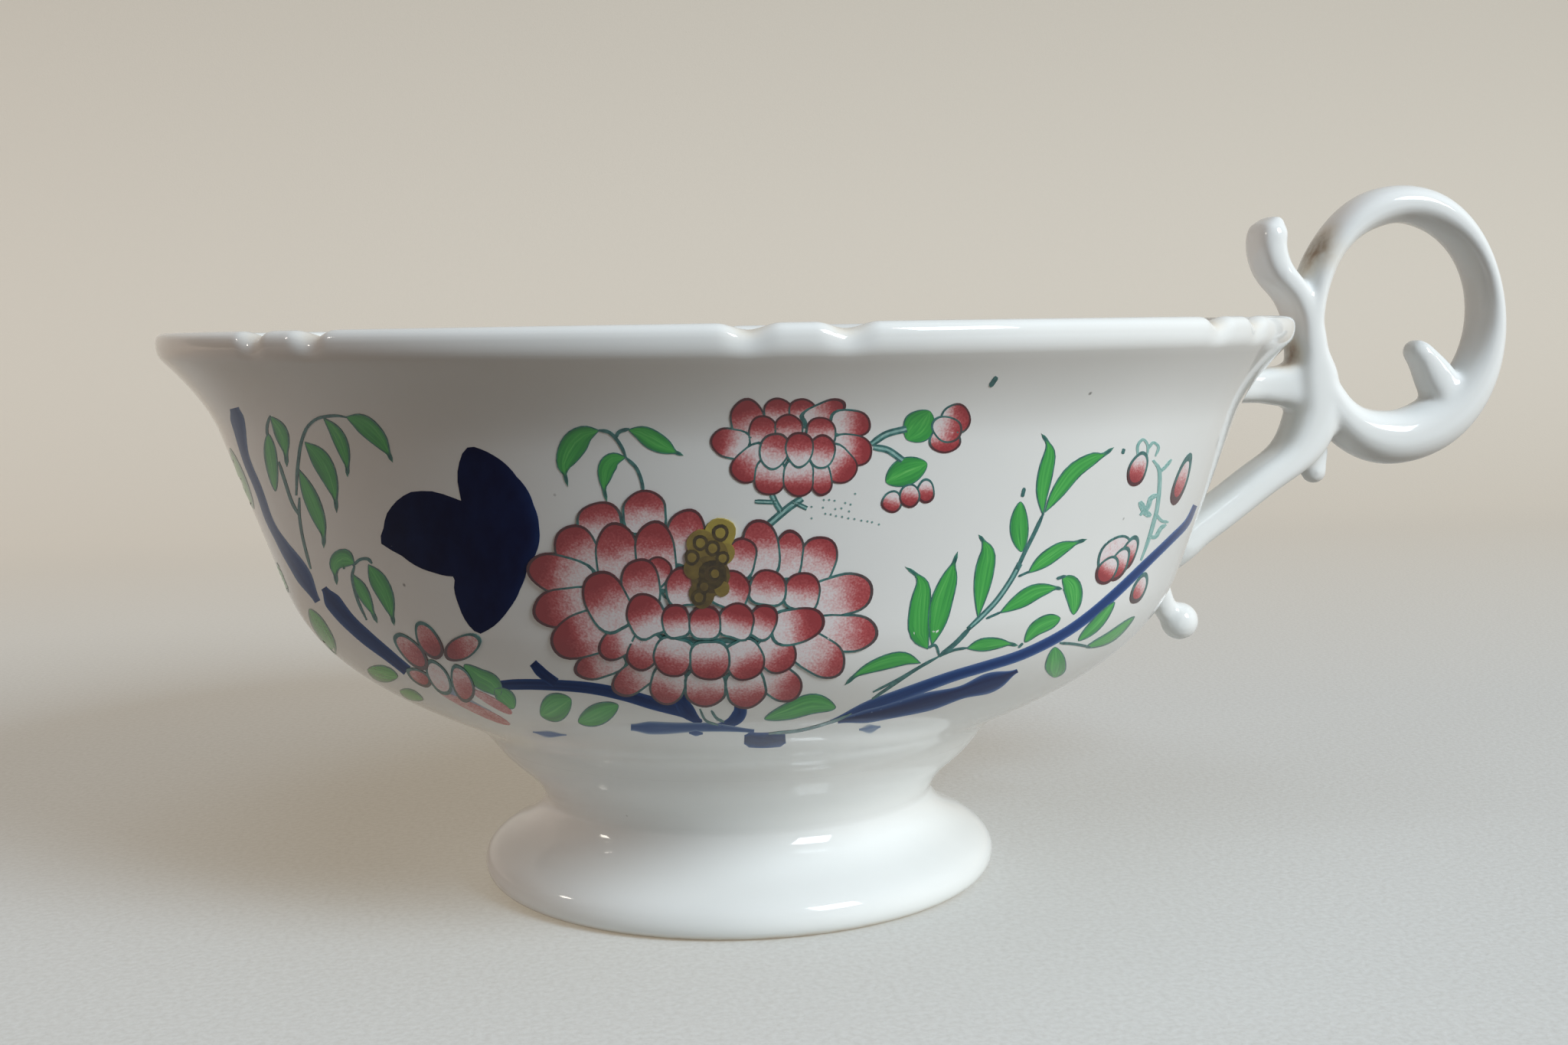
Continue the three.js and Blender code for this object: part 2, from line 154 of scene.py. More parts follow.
def glazedPorcelain():
    g = glaze
    material, shader = newMaterial("glazed_porcelain")
    spot = addNode(material, "ShaderNodeTexCoord", {}).outputs["Object"]
    wear = addNode(material, "ShaderNodeAttribute", {"attribute_name": "wear"}).outputs["Fac"]
    cloud, mottle, wave = (
        addNode(
            material, "ShaderNodeTexNoise", {"Scale": perMetre(size), "Detail": detail, "Vector": spot},
        ).outputs["Fac"]
        for size, detail in ((g["cloudMm"], 3), (g["stainMottleMm"], 5), (g["waveMm"], 2))
    )
    body = addNode(
        material, "ShaderNodeMix",
        {"data_type": "RGBA", 0: cloud, 6: hexLinear(g["white"]), 7: hexLinear(g["shade"])},
    )
    # iron stain that has crept in where the glaze is thin: the wear attribute says where
    blot = addNode(material, "ShaderNodeMath", {"operation": "MULTIPLY", 0: wear, 1: mottle}).outputs[0]
    brown = addNode(material, "ShaderNodeValToRGB", {"Fac": blot, "stops": g["stain"]})
    stained = addNode(
        material, "ShaderNodeMix",
        {"data_type": "RGBA", 0: blot, 6: body.outputs[2], 7: brown.outputs["Color"]},
    )
    # kiln specks, a few tenths of a millimetre across
    cell = addNode(
        material, "ShaderNodeTexVoronoi", {"Scale": perMetre(g["speckSpacingMm"]), "Vector": spot},
    )
    dot = addNode(
        material, "ShaderNodeMapRange",
        {"From Min": g["speckEdge"], "From Max": g["speckCore"], "To Max": g["speckDepth"],
         "Value": cell.outputs["Distance"]},
    )
    specked = addNode(
        material, "ShaderNodeMix",
        {"data_type": "RGBA", 0: dot.outputs["Result"], 6: stained.outputs[2], 7: hexLinear(g["speck"])},
    )
    bump = addNode(
        material, "ShaderNodeBump",
        {"Strength": g["waveStrength"], "Distance": g["waveHeightMm"] / 1000, "Height": wave},
    )
    setNode(material, shader, {
        "Base Color": specked.outputs[2], "Normal": bump.outputs["Normal"],
        "Roughness": g["roughness"], "IOR": g["ior"],
    })
    return material


porcelain = glazedPorcelain()


# shared modelling steps

def quarterHandles(start, corner, end):
    return start, start.lerp(corner, 2 / 3), end.lerp(corner, 2 / 3), end


def curvePoints(runs):
    points = []
    for run, steps in runs:
        points += interpolate_bezier(*run, steps + 1)[0 if not points else 1:]
    return points


def polyLine(bm, points):
    verts = [bm.verts.new(p) for p in points]
    return verts + [bm.edges.new(pair) for pair in zip(verts, verts[1:])]


def straight(start, end):
    return start, start.lerp(end, 1 / 3), start.lerp(end, 2 / 3), end


def at(radius, height):
    return Vector((radius, 0, height))


weldMetres = 1e-7


def finishPiece(bm, name, materials, nodes=(), sharpDegrees=70):
    bmesh.ops.remove_doubles(bm, verts=bm.verts, dist=weldMetres)
    bmesh.ops.recalc_face_normals(bm, faces=bm.faces)
    for face in bm.faces:
        face.smooth = True
    for edge in bm.edges:
        edge.smooth = edge.calc_face_angle(0) < math.radians(sharpDegrees)
    mesh = meshOf(bm, name)
    for material in materials:
        mesh.materials.append(material)
    piece = addObject(name, mesh)
    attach(piece, "root")
    if nodes:
        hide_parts(*nodes)
    print(name, len(mesh.polygons), "faces")


# bowl: a turned profile, pressed in at pairs of dents round the rim; the eases shape its curves
bowl = {
    "rim": 49.99, "height": 50.5,
    "lipThickness": 1.9, "lipHeight": 2.3, "lipRound": 0.9, "lipUndercut": 0.45,
    "flareHeight": 8.4, "flareReach": 4.8, "flareBend": 2.4, "flareEase": 0.7, "innerFlareEase": 0.2,
    "wallLean": 5, "wallFootHeight": 28, "wallThickness": 2.3,
    "bellyBend": 5.2, "bellyReach": 8.6, "bellyRise": 3.7, "bellyTuck": 0.17, "innerBellyEase": 1.2,
    "floorThickness": 4.2, "floorRise": 0.9, "floorRadius": 21.4, "floorReachEase": 0.34,
    "floorRiseEase": 1.7,
    "jointRadius": 22.8, "jointHeight": 13.4, "jointReach": 2, "jointRise": 2.2,
    "softenRounds": 24, "seamStep": 0.04,
    "dentPairs": 8, "dentHalfSpacing": 3.8, "dentHalfWidth": 2.5, "dentDepth": 0.45, "dentDip": 0.45,
    "dentLength": 4, "dentColumns": 36, "plainColumns": 40,
    "stainHeight": 1.2, "rimStain": 0.05, "dentStain": 0.6,
}

# foot: a hollow pedestal that tapers to a waist over a cushion
foot = {
    "waistHeight": 7.7, "waistRadius": 18, "waistBend": 1.6, "waistLean": 0.2,
    "neckBend": 2.7, "neckTop": 2.6,
    "cushionRadius": 23.72, "bulgeHeight": 1.7, "bulgeEase": 0.3,
    "shoulderRadius": 21, "shoulderHeight": 4.4, "shoulderSlope": 28, "shoulderBend": 1.4,
    "restOuter": 22.5, "restWidth": 2, "recessHeight": 1.6, "recessSlope": 1.2,
    "throatRadius": 13.7, "holeRadius": 14.5, "coveRise": 0.3, "coveReach": 0.4,
    "stain": 0.85, "stainFull": 0.1, "stainEnd": 0.7, "columns": 144,
}
mergeMm = 1e-4


def wallLine():
    top = at(bowl["rim"] - bowl["flareReach"], bowl["height"] - bowl["flareHeight"])
    base = at(top.x - bowl["wallLean"], bowl["wallFootHeight"])
    return top, base, (top - base).normalized()


# the outside from the waist up to the wall, as one softened line that is parted at the joint
def flankLine():
    b, f = bowl, foot
    wallFoot, along = wallLine()[1:]
    joint = at(b["jointRadius"], b["jointHeight"])
    turn = at(joint.x + b["jointReach"], joint.z + b["jointRise"])
    belly = at(b["bellyReach"], b["bellyRise"])
    bend = turn - belly * b["bellyTuck"]
    lean = (bend - joint).normalized()
    waist = at(f["waistRadius"], f["waistHeight"])
    neck = interpolate_bezier(
        waist, waist + at(f["waistLean"], f["neckBend"]), joint - lean * f["neckTop"], joint, 19,
    )
    turned = interpolate_bezier(*quarterHandles(joint, bend, turn), 8)
    points = neck + turned[1:]
    points += interpolate_bezier(turn, turn + belly, wallFoot - along * b["bellyBend"], wallFoot, 50)[1:]
    for soften in range(b["softenRounds"]):
        threes = zip(points, points[1:], points[2:])
        eased = [p * 0.5 + (before + after) * 0.25 for before, p, after in threes]
        points = [points[0]] + eased + [points[-1]]
    # a short step each side of the joint keeps both pieces on one slope there, so that no seam shows
    seam = len(neck) - 1
    step = (points[seam + 1] - points[seam - 1]).normalized() * b["seamStep"]
    joint = points[seam]
    return points[:seam] + [joint - step, joint], [joint, joint + step] + points[seam + 1:]


def bowlProfile(bm):
    b = bowl
    wallTop, wallFoot, along = wallLine()
    flank = flankLine()[1]
    joint = flank[0]
    lipFoot = at(b["rim"] - b["lipUndercut"], b["height"] - b["lipHeight"])
    lipSide = at(b["rim"], b["height"] - b["lipRound"])
    lipTop = at(b["rim"] - b["lipThickness"] / 2, b["height"])
    lipInner = at(b["rim"] - b["lipThickness"], lipSide.z)
    lipBend = at(b["rim"], (lipFoot.z + lipSide.z - b["lipUndercut"]) / 2)
    innerTop = wallTop - at(b["wallThickness"], 0)
    innerFoot = wallFoot - at(b["wallThickness"], 0)
    floorMiddle = at(0, joint.z + b["floorThickness"])
    floorEdge = at(b["floorRadius"], floorMiddle.z + b["floorRise"])
    floorBend = at(b["floorRadius"] * b["floorReachEase"], b["floorRise"] * b["floorRiseEase"])
    flare, innerBend = b["flareBend"], along * b["bellyBend"] * b["innerBellyEase"]
    innerFlare = at(flare * b["innerFlareEase"], flare)
    underside = interpolate_bezier(*straight(at(0, joint.z), joint), 5)
    return polyLine(bm, underside[:-1] + flank[:-1] + curvePoints([
        (straight(wallFoot, wallTop), 12),
        ((wallTop, wallTop + along * flare, lipFoot - at(flare, flare) * b["flareEase"], lipFoot), 10),
        (quarterHandles(lipFoot, lipBend, lipSide), 5),
        (quarterHandles(lipSide, at(lipSide.x, lipTop.z), lipTop), 5),
        (quarterHandles(lipTop, at(lipInner.x, lipTop.z), lipInner), 5),
        ((lipInner, lipInner - innerFlare, innerTop + along * flare, innerTop), 8),
        (straight(innerTop, innerFoot), 6),
        ((innerFoot, innerFoot - innerBend, floorEdge + floorBend, floorEdge), 12),
        (quarterHandles(floorEdge, at(floorEdge.x / 2, floorMiddle.z), floorMiddle), 6),
    ]))


def dentShare(angle):
    pitch = 360 / bowl["dentPairs"]
    fromPair = abs(angle - pitch * round(angle / pitch))
    away = abs(fromPair - bowl["dentHalfSpacing"]) / bowl["dentHalfWidth"]
    return 0.5 + 0.5 * math.cos(math.pi * away) if away < 1 else 0


def makeBowl():
    b = bowl
    bm = bmesh.new()
    line = bowlProfile(bm)
    dented = 2 * (b["dentHalfSpacing"] + b["dentHalfWidth"])
    sectors = ((dented, b["dentColumns"]), (360 / b["dentPairs"] - dented, b["plainColumns"]))
    start = Matrix.Rotation(math.radians(-dented / 2), 3, "Z")
    bmesh.ops.rotate(bm, cent=(0, 0, 0), matrix=start, verts=bm.verts)
    for sweep, columns in sectors * b["dentPairs"]:  # close columns at the dents
        spun = bmesh.ops.spin(
            bm, geom=line, cent=(0, 0, 0), axis=(0, 0, 1), angle=math.radians(sweep), steps=columns,
        )
        line = spun["geom_last"]
    bmesh.ops.remove_doubles(bm, verts=bm.verts, dist=mergeMm)
    wearLayer = bm.verts.layers.float.new("wear")
    for vert in bm.verts:
        radius = math.hypot(vert.co.x, vert.co.y)
        dent = dentShare(math.degrees(math.atan2(vert.co.y, vert.co.x)))
        nearTop = smooth(b["height"] - b["stainHeight"], b["height"], vert.co.z)
        vert[wearLayer] = nearTop * (b["rimStain"] + b["dentStain"] * dent)
        pressed = dent * max(0, 1 - (b["height"] - vert.co.z) / b["dentLength"]) ** 2
        if pressed:
            scale = 1 - b["dentDepth"] * pressed / radius
            vert.co = (vert.co.x * scale, vert.co.y * scale, vert.co.z - b["dentDip"] * pressed)
    bmesh.ops.transform(bm, matrix=toFrame, verts=bm.verts)
    bmesh.ops.recalc_face_normals(bm, faces=bm.faces)
    tree = BVHTree.FromBMesh(bm)
    finishPiece(bm, "bowl_shell", [porcelain], ["bowl"])
    return tree


bowlTree = makeBowl()


def makeFoot():
    f = foot
    restOuter, restInner = at(f["restOuter"], 0), at(f["restOuter"] - f["restWidth"], 0)
    bulge = at(f["cushionRadius"], f["bulgeHeight"])
    shoulder = at(f["shoulderRadius"], f["shoulderHeight"])
    slope = math.radians(f["shoulderSlope"])
    fall = at(math.cos(slope), -math.sin(slope)) * f["shoulderBend"]
    waist = at(f["waistRadius"], f["waistHeight"])
    flank = flankLine()[0]
    top = flank[-1]
    hole, throat = at(f["holeRadius"], top.z), at(f["throatRadius"], f["waistHeight"])
    recess = at(restInner.x - f["recessSlope"], f["recessHeight"])
    coveHigh = at(throat.x, recess.z + (throat.z - recess.z) * f["coveRise"])
    coveLow = at(throat.x + (recess.x - throat.x) * f["coveReach"], recess.z)
    bm = bmesh.new()
    cushion = curvePoints([
        (straight(restInner, restOuter), 2),
        (quarterHandles(restOuter, at(bulge.x, bulge.z * f["bulgeEase"]), bulge), 8),
        ((bulge, bulge + at(0, f["shoulderBend"]), shoulder + fall, shoulder), 14),
        ((shoulder, shoulder - fall, waist + at(f["waistLean"], -f["waistBend"]), waist), 14),
    ])
    inside = curvePoints([
        (straight(top, hole), 3),
        (straight(hole, throat), 4),
        ((throat, coveHigh, coveLow, recess), 8),
        (straight(recess, restInner), 3),
    ])
    line = polyLine(bm, cushion + flank[1:] + inside[1:])
    bmesh.ops.spin(
        bm, geom=line, cent=(0, 0, 0), axis=(0, 0, 1), angle=math.tau, steps=f["columns"], use_merge=True,
    )
    wearLayer = bm.verts.layers.float.new("wear")
    for vert in bm.verts:
        vert[wearLayer] = f["stain"] * (1 - smooth(f["stainFull"], f["stainEnd"], vert.co.z))
    bmesh.ops.remove_doubles(bm, verts=bm.verts, dist=mergeMm)
    bmesh.ops.transform(bm, matrix=toFrame, verts=bm.verts)
    finishPiece(bm, "foot_pedestal", [porcelain], ["foot", "foot_slip"])


makeFoot()


# handle: straps with a rounded section, luted together and softened by the glaze
handle = {
    "stemX": 54.5, "stem": 2.4, "stemBow": 0.9, "strapDepth": 6.4, "squareness": 0.62, "elbow": 4.3,
    "strut": 3.1, "kneeDrop": 1.5, "thumb": 2.9, "thumbRise": 9.8, "thumbLean": 3.4,
    "ringZ": 50, "ringLeft": 55.2, "ringWidth": 18.02, "ringHeight": 21.9, "ringStart": 200,
    "ringSweep": 360, "ringTop": 3.6, "ringSide": 2.15, "ringFoot": 5.2, "ringSquareness": 0.88,
    "ringSwell": 0.05, "swellAngle": 240,
    "seatHeight": 28, "seatLength": 3.2, "seatStandoff": 1,
    "slipStandoff": 0.2, "slipMiddle": 3, "slipEnd": 2.4, "slipDepth": 0.9,
    "tail": 3.7, "tailNeck": 2.2, "tailPlace": (42.9, 21.5),
    "lugHeight": 43.9, "lugThickness": 3.2, "lugDepth": 5, "lugSunk": 0.6, "lugReach": 0.3,
    "spur": 3.9, "spurAngle": -52, "spurLength": 7.8,
    "spurBends": [(0, 0), (-0.13, 0.27), (-0.3, 0.55), (-0.52, 0.82)],
    "drop": 2.4, "dropStandoff": 2, "dropFall": 1, "dropLength": 2.4, "dropLean": 0.15, "dropBall": 0.52,
    "sides": 24, "voxelMm": 0.24, "softenRounds": 10, "softenShare": 0.5, "probeFrom": 80, "stainFull": 0.8,
    "crookStain": {"aside": 0.9, "forward": -0.6, "above": 6.8, "radius": 4, "depth": 1.4},
    "lugStain": {"aside": -1.4, "forward": -0.2, "above": 2.8, "radius": 3, "depth": 1.5},
}


def easedStops(stops):
    def value(share):
        low, high = next(pair for pair in zip(stops, stops[1:]) if pair[1][0] >= share - 1e-9)
        return low[1] + (high[1] - low[1]) * smooth(low[0], high[0], share)
    return value


def splinePoint(points, share):
    place = share * (len(points) - 1)
    i = min(int(place), len(points) - 2)
    t = place - i
    p1, p2 = points[i], points[i + 1]
    p0 = points[i - 1] if i else p1 * 2 - p2
    p3 = points[i + 2] if i + 2 < len(points) else p2 * 2 - p1
    return (p1 * 2 + (p2 - p0) * t + (p0 * 2 - p1 * 5 + p2 * 4 - p3) * t * t
            + (p1 * 3 - p0 - p2 * 3 + p3) * t * t * t) * 0.5


def evenPath(points, steps, fineSteps=400):
    fine = [splinePoint(points, i / fineSteps) for i in range(fineSteps + 1)]
    lengths = [0]
    for a, b in zip(fine, fine[1:]):
        lengths.append(lengths[-1] + (b - a).length)
    even, i = [], 0
    for step in range(steps + 1):
        wanted = lengths[-1] * step / steps
        while i < fineSteps - 1 and lengths[i + 1] < wanted:
            i += 1
        even.append(fine[i].lerp(fine[i + 1], (wanted - lengths[i]) / (lengths[i + 1] - lengths[i])))
    return even


# thickness and depth are stops of share along the path and size
def sweepStrap(bm, path, thickness, depth, squareness=handle["squareness"]):
    thicknessAt, depthAt = easedStops(thickness), easedStops(depth)
    steps = len(path) - 1
    ring = bmesh.ops.create_circle(bm, cap_ends=True, segments=handle["sides"], radius=1)["verts"]
    for vert in ring:
        x, y = (math.copysign(abs(c) ** squareness, c) for c in vert.co[:2])
        vert.co = (x, y, 0)
    end = ring[0].link_faces[0]
    before = Matrix.Identity(4)
    for step, place in enumerate(path):
        ahead = path[min(step + 1, steps)] - path[max(step - 1, 0)]
        across = Vector((-ahead.z, 0, ahead.x)).normalized()
        share = step / steps
        section = Matrix((
            across * thicknessAt(share) / 2, Vector((0, depthAt(share) / 2, 0)), ahead.normalized(),
        )).transposed().to_4x4()
        section.translation = place
        if step:
            made = bmesh.ops.extrude_face_region(bm, geom=[end])["geom"]
            ring = vertsOf(made)
            end = next(g for g in made if isinstance(g, bmesh.types.BMFace))
        bmesh.ops.transform(bm, matrix=section @ before.inverted(), verts=ring)
        before = section


def wallRadius(height):
    hit = bowlTree.ray_cast(toFrame @ Vector((handle["probeFrom"], 0, height)), Vector((-1, 0, 0)))[0]
    return (hit.x - cupAxis) * 1000


def seatEnds():
    half = handle["seatLength"] / 2
    return handle["seatHeight"] + half, handle["seatHeight"] - half


# from the thumb scroll's tip down the stem, round the elbow, along the strut and its seat to the tail
def scrollPath():
    h = handle
    x, z, bow, tall = h["stemX"], h["ringZ"], h["stemBow"], h["ringHeight"]
    lean, rise = h["thumbLean"], h["thumbRise"]
    high, low = seatEnds()
    knee = at(x - bow * 0.5, z - tall / 2 - h["kneeDrop"])
    seatTop = at(wallRadius(high) + h["seatStandoff"] + h["strut"] / 2, high)
    seatFoot = at(wallRadius(low) + h["tailNeck"] / 2, low)
    return [
        at(x - lean * 0.8, z + rise), at(x - lean, z + rise * 0.76), at(x - lean * 0.8, z + rise * 0.5),
        at(x - lean * 0.25, z + rise * 0.26), at(x + bow * 0.3, z), at(x + bow * 0.8, z - tall * 0.13),
        at(x + bow * 1.4, z - tall * 0.28), at(x + bow * 1.4, z - tall * 0.42), knee,
        knee.lerp(seatTop, 0.36), knee.lerp(seatTop, 0.72), seatTop, seatFoot,
        at(seatFoot.x + 0.2, low - 1.9), at(seatFoot.x + 1, low - 3.7), at(*h["tailPlace"]),
    ]


def ringPoint(degrees):
    h = handle
    turn = math.radians(degrees)
    swell = 1 + h["ringSwell"] * max(0, math.cos(turn - math.radians(h["swellAngle"]))) ** 4
    wide, tall = h["ringWidth"] / 2, h["ringHeight"] / 2
    middle = at(h["ringLeft"] + wide, h["ringZ"])
    return middle + at(wide * math.cos(turn), tall * math.sin(turn)) * swell


def sweepScroll(bm):
    h, deep = handle, handle["strapDepth"]
    sweepStrap(
        bm, evenPath(scrollPath(), 110),
        [(0, h["thumb"] * 0.4), (0.03, h["thumb"]), (0.2, h["stem"]), (0.28, h["stem"] * 1.2),
         (0.35, h["elbow"]), (0.43, h["elbow"]), (0.56, h["strut"]), (0.8, h["strut"]),
         (0.88, h["tailNeck"]), (1, h["tailNeck"])],
        [(0, deep * 0.6), (0.03, deep * 0.9), (0.15, deep), (0.8, deep),
         (0.9, h["tail"]), (1, h["tail"] * 0.6)],
    )
    ball = Matrix.Translation(at(*h["tailPlace"]))
    bmesh.ops.create_uvsphere(bm, u_segments=24, v_segments=16, radius=h["tail"] / 2, matrix=ball)


def sweepRing(bm):
    h, deep = handle, handle["strapDepth"]
    ringSteps = 90
    sweepStrap(
        bm, [ringPoint(h["ringStart"] - h["ringSweep"] * i / ringSteps) for i in range(ringSteps + 1)],
        [(0, h["ringSide"]), (0.15, h["ringSide"] * 1.2), (0.27, h["ringTop"]), (0.34, h["ringTop"]),
         (0.5, h["ringSide"]), (0.75, h["ringFoot"]), (0.82, h["ringFoot"]), (0.94, h["ringTop"]),
         (1, h["ringSide"])],
        [(0, deep), (1, deep)], h["ringSquareness"],
    )
    root = ringPoint(h["spurAngle"])
    sweepStrap(
        bm, evenPath([root + at(*bend) * h["spurLength"] for bend in h["spurBends"]], 16),
        [(0, h["spur"]), (0.4, h["spur"] * 0.85), (0.9, h["spur"] * 0.55), (1, h["spur"] * 0.3)],
        [(0, deep * 0.85), (0.9, deep * 0.6), (1, deep * 0.35)],
    )


def sweepDrop(bm):
    h = handle
    top = at(h["stemX"] + h["dropStandoff"], h["ringZ"] - h["ringHeight"] / 2 - h["dropFall"])
    low = top - at(h["drop"] * h["dropLean"], h["dropLength"])
    thin = h["drop"] * 0.8
    sweepStrap(bm, evenPath([top, low], 8), [(0, thin), (1, thin)], [(0, h["drop"]), (1, h["drop"])])
    ball, size = Matrix.Translation(low), h["drop"] * h["dropBall"]
    bmesh.ops.create_uvsphere(bm, u_segments=20, v_segments=12, radius=size, matrix=ball)


# the lug swells where slip holds it to the wall, and slip fills the room behind the strut's seat
def sweepSeats(bm):
    h = handle
    level, thick, deep = h["lugHeight"], h["lugThickness"], h["lugDepth"]
    ends = (wallRadius(level) - h["lugSunk"], h["stemX"] + h["lugReach"])
    sweepStrap(
        bm, evenPath([at(x, level) for x in ends], 24),
        [(0, thick * 1.5), (0.22, thick), (0.5, thick), (0.75, thick * 1.2), (1, thick * 1.9)],
        [(0, deep * 1.3), (0.22, deep), (0.5, deep * 0.88), (1, deep)],
    )
    high, low = seatEnds()
    slipDepth = h["strapDepth"] * h["slipDepth"]
    sweepStrap(
        bm, evenPath([at(wallRadius(z) + h["slipStandoff"], z) for z in (low, high)], 8),
        [(0, h["slipEnd"]), (0.5, h["slipMiddle"]), (1, h["slipEnd"])],
        [(0, slipDepth), (1, slipDepth)],
    )


def fuseStraps(bm):
    rough = addObject("handle_rough", meshOf(bm, "handle_rough"))
    remesh = rough.modifiers.new("fuse", "REMESH")
    remesh.mode = "VOXEL"
    remesh.voxel_size = handle["voxelMm"] / 1000
    fused = bpy.data.meshes.new_from_object(rough.evaluated_get(bpy.context.evaluated_depsgraph_get()))
    bpy.data.objects.remove(rough)
    bm = bmesh.new()
    bm.from_mesh(fused)
    for soften in range(handle["softenRounds"]):
        bmesh.ops.smooth_vert(
            bm, verts=bm.verts, factor=handle["softenShare"],
            use_axis_x=True, use_axis_y=True, use_axis_z=True,
        )
    return bm


# brown stain in the crook between thumb scroll and ring, and at the lug
def stainHandle(bm):
    h = handle
    wearLayer = bm.verts.layers.float.new("wear")
    for base, stain in ((h["ringZ"], h["crookStain"]), (h["lugHeight"], h["lugStain"])):
        middle = toFrame @ Vector((h["stemX"] + stain["aside"], stain["forward"], base + stain["above"]))
        for vert in bm.verts:
            near = 1 - (vert.co - middle).length * 1000 / stain["radius"]
            vert[wearLayer] = max(vert[wearLayer], stain["depth"] * smooth(0, h["stainFull"], near))


def makeHandle():
    bm = bmesh.new()
    for sweep in (sweepScroll, sweepRing, sweepDrop, sweepSeats):
        sweep(bm)
    bmesh.ops.recalc_face_normals(bm, faces=bm.faces)
    bmesh.ops.transform(bm, matrix=toFrame, verts=bm.verts)
    bm = fuseStraps(bm)
    stainHandle(bm)
    finishPiece(
        bm, "ring_handle", [porcelain],
        ["handle_scroll", "finger_ring", "ring_spur", "ring_drop",
         "upper_lug", "upper_slip_pad", "lower_slip_pad"],
    )


makeHandle()


# painted enamels

inks = {
    "line": [(0.3, "#1d4f50"), (0.7, "#447c78")], "leafLine": [(0.3, "#1c5750"), (0.7, "#3f8571")],
    "umber": [(0.3, "#2c200d"), (0.7, "#4e3f19")], "stemWash": [(0.3, "#63a09a"), (0.7, "#a3c7c3")],
    "bare": "#e2dbdd",
    "maroon": "#4e1d24", "maroonFrom": 0.35, "maroonTo": 0.9,
    "stemStrokes": (9, 2), "unevenMm": 0.5, "roughness": 0.14, "enamelRoughness": 0.16, "toneSpread": 37,
}


# rose enamel: crimson stippled out to the bare white of the glaze, so each petal shades from tip to root
rose = {
    "stops": [
        (0.02, inks["bare"]), (0.22, "#dcbcbd"), (0.42, "#c98789"), (0.66, "#b14a4e"), (0.95, "#962c33"),
    ],
    "grainMm": 0.16, "grainShare": 0.17, "cloudMm": 1.3, "cloudShare": 0.12,
    "noiseLow": 0.25, "noiseHigh": 0.75,
}


def roseEnamel():
    material, shader = newMaterial("rose_enamel")
    spot = addNode(material, "ShaderNodeTexCoord", {}).outputs["Object"]
    shade = addNode(material, "ShaderNodeAttribute", {"attribute_name": "wash"}).outputs["Fac"]
    for size, share in ((rose["grainMm"], rose["grainShare"]), (rose["cloudMm"], rose["cloudShare"])):
        noise = addNode(
            material, "ShaderNodeTexNoise", {"Scale": perMetre(size), "Detail": 2, "Vector": spot},
        )
        shift = addNode(
            material, "ShaderNodeMapRange",
            {"From Min": rose["noiseLow"], "From Max": rose["noiseHigh"], "To Min": -share, "To Max": share,
             "Value": noise.outputs["Fac"]},
        )
        shade = addNode(
            material, "ShaderNodeMath", {"operation": "ADD", 0: shade, 1: shift.outputs["Result"]},
        ).outputs[0]
    tint = addNode(material, "ShaderNodeValToRGB", {"Fac": shade, "stops": rose["stops"]})
    setNode(material, shader, {"Base Color": tint.outputs["Color"], "Roughness": inks["enamelRoughness"]})
    return material


# printed line: a transfer-printed outline, an uneven teal that lies a little proud of the glaze
def printedLine(name, stops, overPetal=False):
    material, shader = newMaterial(name)
    spot = addNode(material, "ShaderNodeTexCoord", {}).outputs["Object"]
    uneven = addNode(
        material, "ShaderNodeTexNoise", {"Scale": perMetre(inks["unevenMm"]), "Detail": 3, "Vector": spot},
    )
    ink = addNode(
        material, "ShaderNodeValToRGB", {"Fac": uneven.outputs["Fac"], "stops": stops},
    ).outputs["Color"]
    if overPetal:  # maroon where the crimson has run over it
        wash = addNode(material, "ShaderNodeAttribute", {"attribute_name": "wash"}).outputs["Fac"]
        run = addNode(
            material, "ShaderNodeMapRange",
            {"From Min": inks["maroonFrom"], "From Max": inks["maroonTo"], "Value": wash},
        )
        ink = addNode(
            material, "ShaderNodeMix",
            {"data_type": "RGBA", 0: run.outputs["Result"], 6: ink, 7: hexLinear(inks["maroon"])},
        ).outputs[2]
    setNode(material, shader, {"Base Color": ink, "Roughness": inks["roughness"]})
    return material


# brush strokes run along a motif, so their noise reads the motif's own along and side attributes
def strokeNoise(material, alongScale, sideScale):
    place = addNode(material, "ShaderNodeCombineXYZ", {})
    scales = (("X", "along", alongScale), ("Y", "side", sideScale), ("Z", "tone", inks["toneSpread"]))
    for axis, name, scale in scales:
        value = addNode(material, "ShaderNodeAttribute", {"attribute_name": name}).outputs["Fac"]
        scaled = addNode(material, "ShaderNodeMath", {"operation": "MULTIPLY", 0: value, 1: scale})
        setNode(material, place, {axis: scaled.outputs[0]})
    return addNode(
        material, "ShaderNodeTexNoise", {"Scale": 1, "Detail": 3, "Vector": place.outputs[0]},
    ).outputs["Fac"]


# leaf enamel: thin bright green put on in one stroke, streaky, pooled at the edges, over a printed teal tip
leafGreen = {
    "stops": [(0.25, "#6cc465"), (0.45, "#45ad4c"), (0.65, "#319a42"), (0.95, "#1f7841")],
    "tip": "#21565a", "tipStart": 0.77, "tipFull": 0.86, "pooledFrom": 0.3, "pooled": 0.3,
    "strokes": (1.6, 5),
}


